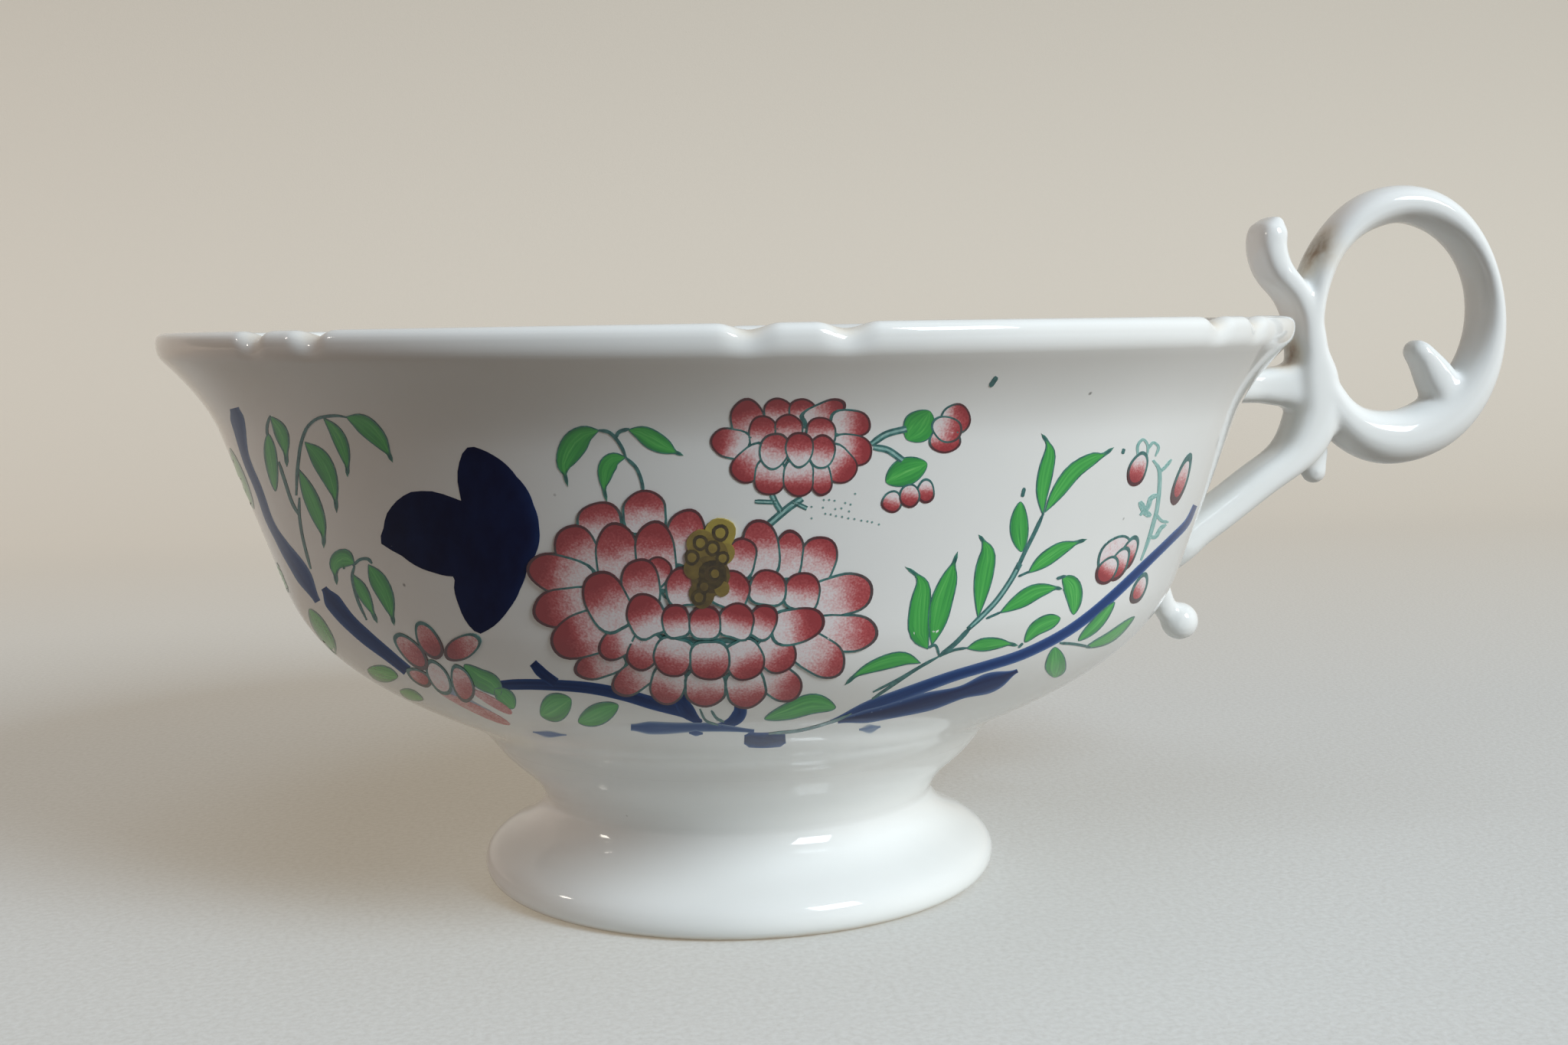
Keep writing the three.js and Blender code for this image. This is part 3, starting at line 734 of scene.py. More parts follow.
def leafEnamel():
    g = leafGreen
    material, shader = newMaterial("leaf_enamel")
    wash, along = (
        addNode(material, "ShaderNodeAttribute", {"attribute_name": name}).outputs["Fac"]
        for name in ("wash", "along")
    )
    pooled = addNode(
        material, "ShaderNodeMapRange", {"From Min": g["pooledFrom"], "To Max": g["pooled"], "Value": wash},
    )
    depth = addNode(
        material, "ShaderNodeMath",
        {"operation": "ADD", 0: strokeNoise(material, *g["strokes"]), 1: pooled.outputs["Result"]},
    )
    green = addNode(material, "ShaderNodeValToRGB", {"Fac": depth.outputs[0], "stops": g["stops"]})
    tip = addNode(
        material, "ShaderNodeMapRange",
        {"From Min": g["tipStart"], "From Max": g["tipFull"], "Value": along},
    )
    tipped = addNode(
        material, "ShaderNodeMix",
        {"data_type": "RGBA", 0: tip.outputs["Result"], 6: green.outputs["Color"], 7: hexLinear(g["tip"])},
    )
    setNode(material, shader, {"Base Color": tipped.outputs[2], "Roughness": inks["enamelRoughness"]})
    return material


# stem wash: the same print filled with a thin teal, so a stem reads as a pale tube between two lines
def stemWash():
    material, shader = newMaterial("stem_wash")
    strokes = strokeNoise(material, *inks["stemStrokes"])
    shade = addNode(material, "ShaderNodeValToRGB", {"Fac": strokes, "stops": inks["stemWash"]})
    setNode(material, shader, {"Base Color": shade.outputs["Color"], "Roughness": inks["roughness"]})
    return material


# underglaze cobalt: nearly black blue where it lies thick, bluer and hazy where it is thin under the glaze
cobaltBlue = {
    "stops": [(0.1, "#12153c"), (0.3, "#192857"), (0.5, "#2b4a84"), (0.75, "#627da8"), (1, "#b4c0cd")],
    "mottle": 0.24, "strokes": (2.2, 1.5), "roughness": 0.07, "specular": 0.07,
}


def underglazeCobalt():
    c = cobaltBlue
    material, shader = newMaterial("underglaze_cobalt")
    wash = addNode(material, "ShaderNodeAttribute", {"attribute_name": "wash"}).outputs["Fac"]
    thin = addNode(
        material, "ShaderNodeMath",
        {"operation": "MULTIPLY_ADD", 0: strokeNoise(material, *c["strokes"]), 1: c["mottle"], 2: wash},
    )
    blue = addNode(material, "ShaderNodeValToRGB", {"Fac": thin.outputs[0], "stops": c["stops"]})
    setNode(material, shader, {
        "Base Color": blue.outputs["Color"],
        "Roughness": c["roughness"], "Specular IOR Level": c["specular"],
    })
    return material


# ochre enamel: a translucent yellow over the brown print of the stamens, so it is darker over the print
ochre = {"stops": [(0.2, "#a89740"), (0.6, "#7d692c"), (1.1, "#4b3a1b")], "cloudMm": 0.7, "cloudShare": 0.5}


def ochreEnamel():
    material, shader = newMaterial("ochre_enamel")
    spot = addNode(material, "ShaderNodeTexCoord", {}).outputs["Object"]
    wash = addNode(material, "ShaderNodeAttribute", {"attribute_name": "wash"}).outputs["Fac"]
    cloud = addNode(
        material, "ShaderNodeTexNoise", {"Scale": perMetre(ochre["cloudMm"]), "Detail": 3, "Vector": spot},
    )
    depth = addNode(
        material, "ShaderNodeMath",
        {"operation": "MULTIPLY_ADD", 0: cloud.outputs["Fac"], 1: ochre["cloudShare"], 2: wash},
    )
    tint = addNode(material, "ShaderNodeValToRGB", {"Fac": depth.outputs[0], "stops": ochre["stops"]})
    setNode(material, shader, {"Base Color": tint.outputs["Color"], "Roughness": inks["enamelRoughness"]})
    return material


# painted spray: thin films laid on the glaze, each point put where the photograph's camera sees it
film = {
    "liftMm": 0.008, "stepMm": 0.002, "sunkMm": 0.03, "sharpDegrees": 40, "lineShare": 0.12, "onRim": 0.995,
    "bowlMiddle": (940, 720), "pullIn": 0.006, "pulls": 60, "leastFacing": 0.0012,
}
# which film lies over which, counted in steps
filmLayers = {
    "branches": 0, "branchGap": 0.2, "cobaltLeaf": 3, "dots": 4, "leaves": 5, "leafGap": 0.12, "tubes": 8,
    "strips": 8, "stems": 9, "petals": 10, "secondHeart": 30, "stamens": 68,
}


def onBowl(px, py):
    spot = Vector((px, py))
    half = Vector((photoCamera["pixelsWide"], photoCamera["pixelsHigh"])) / 2
    for attempt in range(film["pulls"]):
        aside = (spot - half) / photoCamera["focalPixels"]
        ray = photoTurn @ Vector((aside.x, -aside.y, -1))
        place, normal, face, away = bowlTree.ray_cast(photoPlace, ray)
        if place and normal.dot(photoPlace - place) > film["leastFacing"]:
            break
        spot = spot.lerp(Vector(film["bowlMiddle"]), film["pullIn"])  # past the edge of the cup: pull in
    return place, normal


def discTemplate(name, segments, rings, lined=True):
    bm = bmesh.new()
    verts = bmesh.ops.create_circle(bm, cap_ends=True, segments=segments, radius=1)["verts"]
    middle = verts[0].link_faces[0]
    line = film["lineShare"]
    for face in bmesh.ops.inset_region(bm, faces=[middle], thickness=line, use_boundary=True)["faces"]:
        face.material_index = 1 if lined else 0
    for ring in range(rings):
        bmesh.ops.inset_region(bm, faces=[middle], thickness=(1 - line) / (rings + 1), use_boundary=True)
    bmesh.ops.poke(bm, faces=[middle])
    return meshOf(bm, name)


def stripTemplate(name, lengthwise, crosswise, edgeColumns):
    bm = bmesh.new()
    bmesh.ops.create_grid(bm, x_segments=lengthwise, y_segments=crosswise, size=1)
    for face in bm.faces:
        if abs(face.calc_center_median().y) > 1 - 2 * edgeColumns / crosswise:
            face.material_index = 1
    return meshOf(bm, name)


templates = {
    "petal": discTemplate("petal", 30, 4), "leaf": discTemplate("leaf", 44, 2),
    "dot": discTemplate("dot", 14, 1), "spot": discTemplate("spot", 18, 2, lined=False),
    "blot": discTemplate("blot", 90, 9, lined=False), "branch": stripTemplate("branch", 48, 6, 0),
    "line": stripTemplate("line", 26, 2, 1), "paleLine": stripTemplate("paleLine", 26, 2, 0),
    "tube": stripTemplate("tube", 24, 6, 2),
}


def newFilm():
    bm = bmesh.new()
    return bm, [bm.verts.layers.float.new(name) for name in ("wash", "along", "side", "tone")]


def stamp(painting, template, placeOf, layer):
    bm, layers = painting
    tone = random.random()
    first = len(bm.verts)
    bm.from_mesh(templates[template])
    bm.verts.ensure_lookup_table()
    for vert in bm.verts[first:]:
        px, py, wash, along, side = placeOf(vert.co.x, vert.co.y)
        place, normal = onBowl(px, py)
        vert.co = place + normal * (film["liftMm"] + film["stepMm"] * layer) / 1000
        for target, value in zip(layers, (wash, along, side, tone)):
            vert[target] = value


def finishFilm(painting, name, materials):
    bm = painting[0]
    bm.normal_update()
    made = bmesh.ops.extrude_face_region(bm, geom=bm.faces[:])["geom"]
    for vert in vertsOf(made):
        place, normal, face, away = bowlTree.find_nearest(vert.co)
        vert.co = place - normal * film["sunkMm"] / 1000
    bmesh.ops.recalc_face_normals(bm, faces=bm.faces)
    # the far side of the cup carries the same spray, half a turn round
    back = bmesh.ops.duplicate(bm, geom=bm.verts[:] + bm.edges[:] + bm.faces[:])["geom"]
    bmesh.ops.rotate(
        bm, cent=(cupAxis, 0, 0), matrix=Matrix.Rotation(math.pi, 3, "Z"),
        verts=vertsOf(back),
    )
    finishPiece(bm, name, materials, sharpDegrees=film["sharpDegrees"])


petalShape = {
    "linePixels": 2.8, "leastInset": 0.2, "wobble": 0.02, "ripple": 0.012, "taper": 0.12, "fullTaper": 0.4,
    "washFrom": 0.12, "washTo": 0.95,
}


# a petal by its middle, its two sizes and the way its tip points; root lengthens the end that others hide
def petalPlace(x, y, across, along, tip, depth=1, least=0, root=0, line=petalShape["linePixels"], full=0):
    s = petalShape
    turn = math.radians(tip)
    wobble = random.uniform(0, math.tau)
    inset = max(s["leastInset"], 1 - 2 * line / min(across, along))

    def place(u, v):
        radius = math.hypot(u, v)
        angle = math.atan2(v, u)
        if radius < film["onRim"]:
            radius *= inset / (1 - film["lineShare"])
        uneven = s["wobble"] * math.sin(3 * angle + wobble) + s["ripple"] * math.sin(5 * angle + 2 * wobble)
        radius *= 1 + uneven
        if math.cos(angle) < 0:
            radius *= 1 + full * math.sin(2 * angle) ** 2
        forward = radius * math.cos(angle)
        sideways = radius * math.sin(angle) * (1 + (s["taper"] - s["fullTaper"] * full) * forward)
        ahead = forward * along / 2 * (1 if forward > 0 else 1 + root)
        aside = sideways * across / 2
        px = x + ahead * math.cos(turn) + aside * math.sin(turn)
        py = y - ahead * math.sin(turn) + aside * math.cos(turn)
        share = (forward + 1) / 2
        wash = least + (depth - least) * smooth(s["washFrom"], s["washTo"], share)
        return px, py, wash, share, sideways

    return place


def besidePath(path, share, aside, reach):
    ahead = splinePoint(path, min(share + reach, 1)) - splinePoint(path, max(share - reach, 0))
    return splinePoint(path, share) + Vector((ahead.y, -ahead.x)).normalized() * aside


leafShape = {
    "linePixels": 1.7, "tailPixels": 2.5, "body": 0.86, "tippedRound": 0.9, "bluntRound": 0.6,
    "inset": 0.97, "bluntEnd": 0.78, "tailFull": 0.9, "tailEnd": 1.01,
}


# a leaf by its midline from stalk to tip, its width and where along it that is reached
def leafPlace(points, width, fullest, tipped):
    s = leafShape
    path = [Vector(p) for p in points]

    def halfWidth(share):
        body = share / s["body"] if tipped else share
        rise = body / fullest if body < fullest else max(0, 1 - body) / (1 - fullest)
        half = width / 2 * math.sin(rise * math.pi / 2) ** s["tippedRound" if tipped else "bluntRound"]
        if tipped and body > fullest:
            half = max(half, s["tailPixels"] * smooth(s["tailEnd"], s["tailFull"], share))
        return half

    def place(u, v):
        radius = math.hypot(u, v)
        angle = math.atan2(v, u)
        onRim = radius > film["onRim"]
        reach = 1 if onRim else s["inset"] * radius / (1 - film["lineShare"])
        share = 0.5 + 0.5 * reach * math.cos(angle)
        half = halfWidth(share)
        edge = reach * abs(math.sin(angle)) / math.sqrt(max(1 - (reach * math.cos(angle)) ** 2, 1e-6))
        room = 1 if onRim else max(0, 1 - s["linePixels"] / max(half, 0.1))
        side = math.copysign(min(edge, room), math.sin(angle))
        spot = besidePath(path, share, side * half, 0.02)
        return spot.x, spot.y, abs(side), share if tipped else share * s["bluntEnd"], side

    return place


def ribbonPlace(points, widths, wash=0, soft=0):
    path = [Vector(p) for p in points]
    widthAt = easedStops(widths)

    def place(u, v):
        share = (u + 1) / 2
        spot = besidePath(path, share, v * widthAt(share) / 2, 0.01)
        return spot.x, spot.y, wash + soft * abs(v) ** 3, share, v

    return place


# flowers, back row first, in the photo's pixels: x, y, across, along, way of the tip, then wash if not full
peony = {
    "hem": [
        (780, 868, 38, 62, 198), (826, 886, 40, 60, 217), (1022, 893, 46, 54, 325),
        (975, 903, 54, 44, 282), (871, 898, 47, 44, 252), (921, 902, 56, 42, 268),
    ],
    "crown": [
        (783, 679, 60, 48, 97), (842, 665, 58, 50, 92), (896, 697, 52, 66, 82),
    ],
    "rightCrown": [
        (1069, 728, 50, 58, 68), (1031, 720, 38, 58, 84), (993, 712, 50, 68, 94), (969, 725, 40, 48, 78),
    ],
    "shoulder": [
        (754, 719, 56, 72, 117), (806, 720, 57, 76, 96), (856, 719, 54, 80, 96), (860, 744, 36, 36, 58),
    ],
    "rightFan": [
        (1102, 776, 54, 80, 14), (1108, 826, 50, 78, 0), (1074, 858, 52, 64, 330),
    ],
    "leftFan": [
        (727, 749, 52, 78, 162), (735, 793, 52, 80, 188), (762, 829, 60, 88, 198),
    ],
    "heart": [
        (1048, 771, 48, 50, 78), (1003, 766, 50, 46, 80), (955, 769, 52, 50, 64), (892, 765, 46, 50, 98),
        (837, 761, 52, 66, 96),
    ],
    "skirt": [
        (808, 839, 40, 58, 212), (841, 850, 42, 54, 243), (1014, 853, 50, 54, 320),
        (973, 862, 52, 52, 295), (879, 858, 52, 50, 255), (927, 863, 54, 50, 270),
    ],
    "cup": [
        (793, 784, 57, 84, 117), (1041, 816, 47, 74, 13), (996, 811, 38, 48, 64), (962, 810, 48, 48, 74),
        (844, 803, 51, 60, 116), (883, 810, 38, 46, 100), (921, 812, 43, 45, 90),
    ],
}
peonyDepth = {
    "cup": 1.12, "leftFan": 1.12, "rightFan": 0.78, "hem": 0.92, "skirt": 0.92,
    "crown": 0.95, "rightCrown": 0.9,
}
peonyRoot = {"cup": 0, "skirt": 0.05, "heart": 0.08}
peonyGap = {"hem": 2.5, "rightFan": 2.5}  # layers between neighbours, more where the bowl curves in
secondPeony = [
    (1016, 538, 38, 38, 92), (1048, 537, 38, 34, 90), (977, 549, 46, 58, 104), (1080, 537, 28, 54, 22),
    (1114, 553, 36, 48, 355), (1115, 588, 42, 50, 352), (951, 578, 40, 46, 168), (997, 564, 40, 44, 98),
    (1030, 560, 38, 40, 90), (1072, 562, 40, 36, 88), (978, 608, 42, 52, 220), (1097, 609, 45, 46, 316),
    (1005, 626, 42, 42, 262), (1072, 627, 30, 42, 282), (1043, 627, 41, 44, 270),
]
secondHeart = [
    (1011, 589, 40, 50, 74, 0.75), (1073, 590, 37, 46, 82, 0.9), (1044, 587, 38, 48, 88),
]
buds = [
    (1248, 547, 40, 40, 18), (1234, 573, 42, 38, 280), (1236, 560, 35, 42, 338, 0.75),
    (1165, 655, 27, 30, 250), (1209, 641, 24, 33, 268), (1188, 647, 28, 32, 262),
    (1486, 612, 24, 48, 250), (1543, 626, 16, 72, 251, 0.9), (1457, 727, 42, 62, 242, 0.12),
    (1474, 722, 20, 50, 246, 1.15), (1461, 736, 23, 50, 243, 1.15), (1446, 744, 25, 42, 238, 1.15),
    (1488, 768, 17, 44, 246, 0.8),
]
fallenFlower = [
    (548, 884, 18, 38, 328, 0.8, 0.4), (573, 884, 25, 52, 302, 0.12, 0.05),
    (604, 892, 27, 52, 292, 0.7, 0.25), (537, 850, 25, 62, 313, 0.85, 0.35),
    (560, 836, 27, 56, 302, 0.95, 0.3), (605, 845, 31, 52, 207, 0.95, 0.25),
]
fallenStrips = [
    (620, 925, 11, 104, 335, 0.5, 0.35), (642, 916, 11, 64, 330, 0.5, 0.35),
]
flowerPaint = {
    "full": 0.2, "root": 0.35, "secondDepth": 1.08, "secondRoot": 0.3, "secondLine": 2.4, "budLine": 2.5,
}


def paintFlowers():
    paint = flowerPaint
    painting = newFilm()
    layer = filmLayers["petals"]
    for row, petals in peony.items():
        depth, root = peonyDepth.get(row, 1), peonyRoot.get(row, paint["root"])
        for petal in petals:
            stamp(painting, "petal", petalPlace(*petal, depth, root=root, full=paint["full"]), layer)
            layer += peonyGap.get(row, 1)
    for number, petal in enumerate(secondPeony):
        place = petalPlace(
            *petal, paint["secondDepth"], root=paint["secondRoot"], line=paint["secondLine"],
            full=paint["full"],
        )
        stamp(painting, "petal", place, filmLayers["petals"] + number)
    for first, petals in (("secondHeart", secondHeart), ("petals", buds + fallenFlower)):
        for number, petal in enumerate(petals):
            place = petalPlace(*petal, line=paint["budLine"])
            stamp(painting, "petal", place, filmLayers[first] + number)
    for number, petal in enumerate(fallenStrips):
        stamp(painting, "spot", petalPlace(*petal), filmLayers["strips"] + number)
    finishFilm(
        painting, "peony_petals",
        [roseEnamel(), printedLine("petal_outline", inks["line"], overPetal=True)],
    )


# leaves: midline from stalk to tip, width and where it is widest, in pixels; blunt ones show no printed tip
tippedLeaves = [
    ([(783, 562), (765, 567), (752, 578), (743, 592), (737, 607), (738, 620), (742, 636)], 35, 0.42),
    ([(818, 597), (802, 600), (793, 610), (790, 624), (789, 638), (793, 656)], 24, 0.4),
    ([(820, 561), (838, 566), (855, 576), (870, 584), (881, 590), (893, 595)], 26, 0.42),
    ([(1362, 674), (1361, 645), (1366, 615), (1371, 592), (1368, 578), (1360, 566)], 20, 0.42),
    ([(1364, 670), (1380, 645), (1402, 616), (1427, 599), (1441, 594), (1455, 584)], 21, 0.42),
    ([(1277, 808), (1281, 775), (1286, 745), (1290, 722), (1285, 708), (1278, 698)], 25, 0.45),
    ([(1342, 749), (1362, 733), (1385, 717), (1402, 710), (1420, 704)], 20, 0.4),
    ([(1305, 801), (1330, 786), (1352, 773), (1374, 768), (1388, 769)], 22, 0.45),
    ([(1262, 847), (1285, 842), (1310, 840), (1330, 843)], 18, 0.42),
    ([(1212, 848), (1201, 826), (1202, 792), (1205, 766), (1198, 752), (1182, 740)], 30, 0.3),
    ([(1217, 843), (1223, 815), (1230, 785), (1240, 756), (1245, 738), (1251, 720)], 29, 0.4),
    ([(1203, 866), (1180, 860), (1150, 867), (1122, 879), (1103, 895)], 20, 0.42),
    ([(353, 543), (365, 560), (372, 582), (375, 610)], 18, 0.5),
    ([(398, 577), (415, 595), (428, 618), (437, 645), (440, 670)], 25, 0.42),
    ([(390, 612), (402, 640), (414, 670), (422, 695), (423, 716)], 20, 0.45),
    ([(422, 545), (437, 562), (447, 582), (453, 605), (454, 623)], 18, 0.48),
    ([(452, 544), (472, 552), (492, 570), (505, 588), (513, 604)], 25, 0.4),
    ([(461, 750), (472, 770), (483, 792), (493, 814)], 16, 0.42),
    ([(481, 737), (492, 755), (504, 778), (511, 800), (515, 817)], 23, 0.4),
    ([(463, 736), (448, 730), (438, 740), (440, 764)], 27, 0.38),
]
bluntLeaves = [
    ([(1334, 721), (1331, 690), (1333, 655)], 25, 0.5),
    ([(1388, 754), (1399, 764), (1403, 782), (1402, 803)], 25, 0.4),
    ([(1338, 839), (1352, 822), (1370, 812), (1385, 807)], 21, 0.58),
    ([(1408, 837), (1432, 815), (1456, 786)], 16, 0.5),
    ([(1418, 846), (1450, 832), (1482, 805)], 14, 0.5),
    ([(1378, 845), (1379, 864), (1377, 885)], 28, 0.68), ([(350, 566), (354, 600), (360, 642)], 17, 0.45),
    ([(404, 795), (416, 815), (430, 838), (438, 855)], 18, 0.4),
    ([(480, 874), (500, 880), (520, 884)], 22, 0.5), ([(522, 902), (536, 907), (553, 914)], 14, 0.5),
    ([(300, 585), (316, 625), (332, 665)], 10, 0.5), ([(344, 735), (355, 755), (366, 775)], 9, 0.5),
    ([(606, 868), (624, 884), (642, 894), (654, 908)], 27, 0.55),
    ([(646, 900), (660, 911), (672, 925)], 23, 0.55),
    ([(998, 939), (1030, 929), (1062, 919), (1092, 924)], 27, 0.62),
    ([(706, 934), (725, 924), (746, 913)], 38, 0.5), ([(755, 943), (781, 933), (808, 921)], 29, 0.5),
    ([(1184, 574), (1200, 557), (1215, 537)], 42, 0.5),
    ([(1157, 630), (1183, 616), (1211, 605)], 37, 0.5),
]


def paintLeaves():
    painting = newFilm()
    layer = filmLayers["leaves"]
    for leaves, tipped in ((bluntLeaves, False), (tippedLeaves, True)):
        for leaf in leaves:
            stamp(painting, "leaf", leafPlace(*leaf, tipped), layer)
            layer += filmLayers["leafGap"]
    finishFilm(painting, "leaf_sprays", [leafEnamel(), printedLine("leaf_outline", inks["leafLine"])])


# stems: points along each one, and its width, in pixels
thinStems = [
    ([(782, 562), (794, 564), (803, 571), (812, 584), (818, 598)], 4.5),
    ([(804, 572), (809, 564), (822, 560)], 5), ([(818, 598), (831, 611), (838, 628), (841, 646)], 4.5),
    ([(1139, 913), (1170, 892), (1200, 872), (1227, 857)], 4),
    ([(1227, 857), (1248, 840), (1268, 819)], 6),
    ([(1328, 744), (1338, 722), (1351, 696), (1363, 670)], 5),
    ([(1212, 846), (1222, 843), (1227, 857)], 3.5), ([(1228, 856), (1246, 849), (1264, 846)], 3.5),
    ([(1140, 904), (1175, 886), (1205, 868)], 3), ([(1384, 840), (1402, 841), (1424, 845)], 3.5),
    ([(1336, 840), (1330, 846)], 3), ([(1288, 808), (1308, 799)], 3), ([(1330, 753), (1345, 746)], 3),
    ([(1380, 756), (1392, 752)], 4), ([(1335, 649), (1338, 637)], 4.5),
    ([(387, 647), (388, 620), (390, 600), (393, 580), (400, 560), (412, 548), (425, 544), (440, 543),
     (453, 545)], 4),
    ([(391, 650), (391, 673), (395, 700), (401, 725), (406, 743)], 3.5),
    ([(364, 603), (372, 628), (381, 655), (391, 674)], 4), ([(353, 543), (349, 556), (349, 570)], 3.5),
    ([(461, 739), (470, 731), (480, 730), (486, 736)], 4),
    ([(463, 739), (460, 752), (462, 766), (468, 786), (479, 810)], 3.5), ([(1302, 492), (1293, 505)], 6),
    ([(1468, 586), (1466, 593)], 4), ([(929, 928), (936, 938), (946, 943)], 3.5),
    ([(806, 824), (838, 828), (871, 833), (920, 837), (953, 836), (987, 832), (1010, 824)], 7),
    ([(914, 926), (922, 941), (938, 947)], 3), ([(1004, 958), (1045, 954), (1085, 943), (1112, 932)], 4),
    ([(864, 772), (868, 779), (878, 786)], 3),
]
paleStems = [
    ([(1506, 601), (1514, 614), (1514, 640), (1511, 665), (1507, 681), (1500, 705), (1490, 732)], 5),
    ([(1515, 616), (1522, 610), (1530, 600)], 4),
    ([(1512, 646), (1503, 651), (1499, 662), (1489, 673)], 6),
    ([(1486, 596), (1486, 582), (1493, 574), (1499, 582), (1498, 596)], 3.5),
    ([(1500, 586), (1506, 578), (1513, 584), (1509, 596)], 3.5),
    ([(1489, 655), (1495, 668), (1503, 674)], 8), ([(1510, 672), (1517, 680), (1526, 682)], 4),
    ([(1500, 701), (1509, 701), (1516, 690), (1523, 685)], 5),
]
tubeStems = [
    ([(1264, 822), (1282, 805), (1302, 784), (1320, 758), (1332, 736)], 7),
    ([(1048, 651), (1030, 663), (1004, 685)], 10), ([(1007, 643), (1013, 656), (1021, 669)], 8),
    ([(986, 655), (1014, 656)], 6), ([(1035, 655), (1054, 664)], 6),
    ([(1138, 580), (1158, 567), (1184, 560)], 9), ([(1141, 584), (1160, 588), (1179, 601)], 9),
]
printDots = [
    (1060, 677), (1078, 671), (1085, 672), (1092, 674), (1100, 675), (1108, 677), (1116, 678),
    (1125, 680), (1133, 681), (1139, 682), (1148, 685), (1060, 662), (1075, 663), (1083, 653),
    (1090, 654), (1104, 657), (1111, 659), (1109, 668), (1099, 664), (1091, 665), (1076, 653),
    (1117, 645),
]
printDot = {"pixels": 2.6, "line": 0.5}
# share along a stem, and its width there as a share of the full one
stemTaper = [(0, 0.6), (0.15, 1), (0.8, 1), (1, 0.5)]
tubeTaper = [(0, 0.8), (0.2, 1), (1, 1)]


def paintStems():
    painting = newFilm()
    for template, stems, taper, layer in (
        ("line", thinStems, stemTaper, "stems"),
        ("paleLine", paleStems, stemTaper, "stems"),
        ("tube", tubeStems, tubeTaper, "tubes"),
    ):
        for points, width in stems:
            widths = [(along, width * share) for along, share in taper]
            stamp(painting, template, ribbonPlace(points, widths), filmLayers[layer])
    for x, y in printDots:
        place = petalPlace(x, y, printDot["pixels"], printDot["pixels"], 0, line=printDot["line"])
        stamp(painting, "dot", place, filmLayers["dots"])
    finishFilm(painting, "printed_stems", [stemWash(), printedLine("stem_outline", inks["line"])])


# cobalt: the leaf's outline from its top tip round to the right, and the branches' widths, in pixels
cobaltLeaf = {
    "middle": (645, 705), "strokes": 60,
    "thin": 0.02, "thinner": 0.22, "thinFrom": 640, "thinTo": 700, "edge": 0.7,
    "outline": [
        (613, 582), (645, 595), (675, 623), (697, 660), (704, 688), (699, 725), (688, 744), (680, 768),
        (666, 794), (645, 818), (625, 829), (610, 814), (599, 790), (593, 768), (595, 753), (567, 748),
        (545, 740), (525, 726), (504, 714), (495, 708), (501, 690), (504, 673), (516, 656), (534, 643),
        (567, 642), (588, 649), (604, 655), (598, 632), (598, 612), (604, 592),
    ],
}
branches = [  # points, widths along it, how thin the blue is and how much thinner at the edges
    ([(306, 533), (312, 556), (321, 598), (338, 640), (352, 680), (370, 712), (392, 745), (415, 786)],
     [(0, 12), (0.1, 18), (0.3, 10), (0.6, 10), (0.88, 21), (1, 8)], 0.36, 0.2),
    ([(423, 768), (437, 789), (455, 811), (480, 834), (505, 854), (532, 876)],
     [(0, 8), (0.18, 22), (0.5, 19), (1, 14)], 0.26, 0.2),
    ([(640, 895), (700, 894), (765, 898), (813, 907), (851, 918), (890, 929), (915, 944)],
     [(0, 10), (0.1, 14), (0.75, 17), (1, 9)], 0.26, 0.15),
    ([(696, 866), (708, 879), (726, 892)], [(0, 11), (0.4, 14), (1, 13)], 0.22, 0.15),
    ([(887, 910), (897, 928), (915, 945)], [(0, 18), (0.5, 20), (1, 8)], 0.26, 0.15),
    ([(967, 918), (966, 932), (955, 943), (936, 949)], [(0, 16), (0.4, 18), (1, 7)], 0.32, 0.15),
    ([(824, 950), (870, 951), (930, 950), (985, 955)], [(0, 9), (0.2, 17), (0.6, 12), (1, 5)], 0.42, 0.4),
    ([(900, 957), (918, 958)], [(0, 3), (0.5, 8), (1, 3)], 0.42, 0.3),
    ([(972, 966), (998, 967), (1026, 965)], [(0, 12), (0.15, 20), (0.85, 20), (1, 12)], 0.22, 0.25),
    ([(1122, 953), (1136, 952), (1150, 949)], [(0, 3), (0.5, 12), (1, 3)], 0.62, 0.3),
    ([(696, 956), (716, 959), (740, 960)], [(0, 2), (0.5, 9), (1, 2)], 0.6, 0.35),
    ([(1085, 943), (1125, 927), (1174, 909), (1239, 885), (1285, 871), (1335, 855), (1384, 831),
      (1422, 805), (1459, 773), (1497, 736), (1530, 704), (1550, 683), (1561, 660)],
     [(0, 5), (0.12, 17), (0.3, 14), (0.6, 13), (0.85, 10), (1, 6)], 0.3, 0.3),
    ([(1094, 942), (1140, 934), (1198, 920), (1250, 906), (1300, 889), (1329, 876)],
     [(0, 6), (0.2, 18), (0.45, 24), (0.62, 17), (0.75, 26), (1, 5)], 0.2, 0.4),
    ([(566, 872), (580, 896), (606, 914), (640, 931)], [(0, 8), (0.4, 14), (1, 6)], 0.8, 0.2),
]


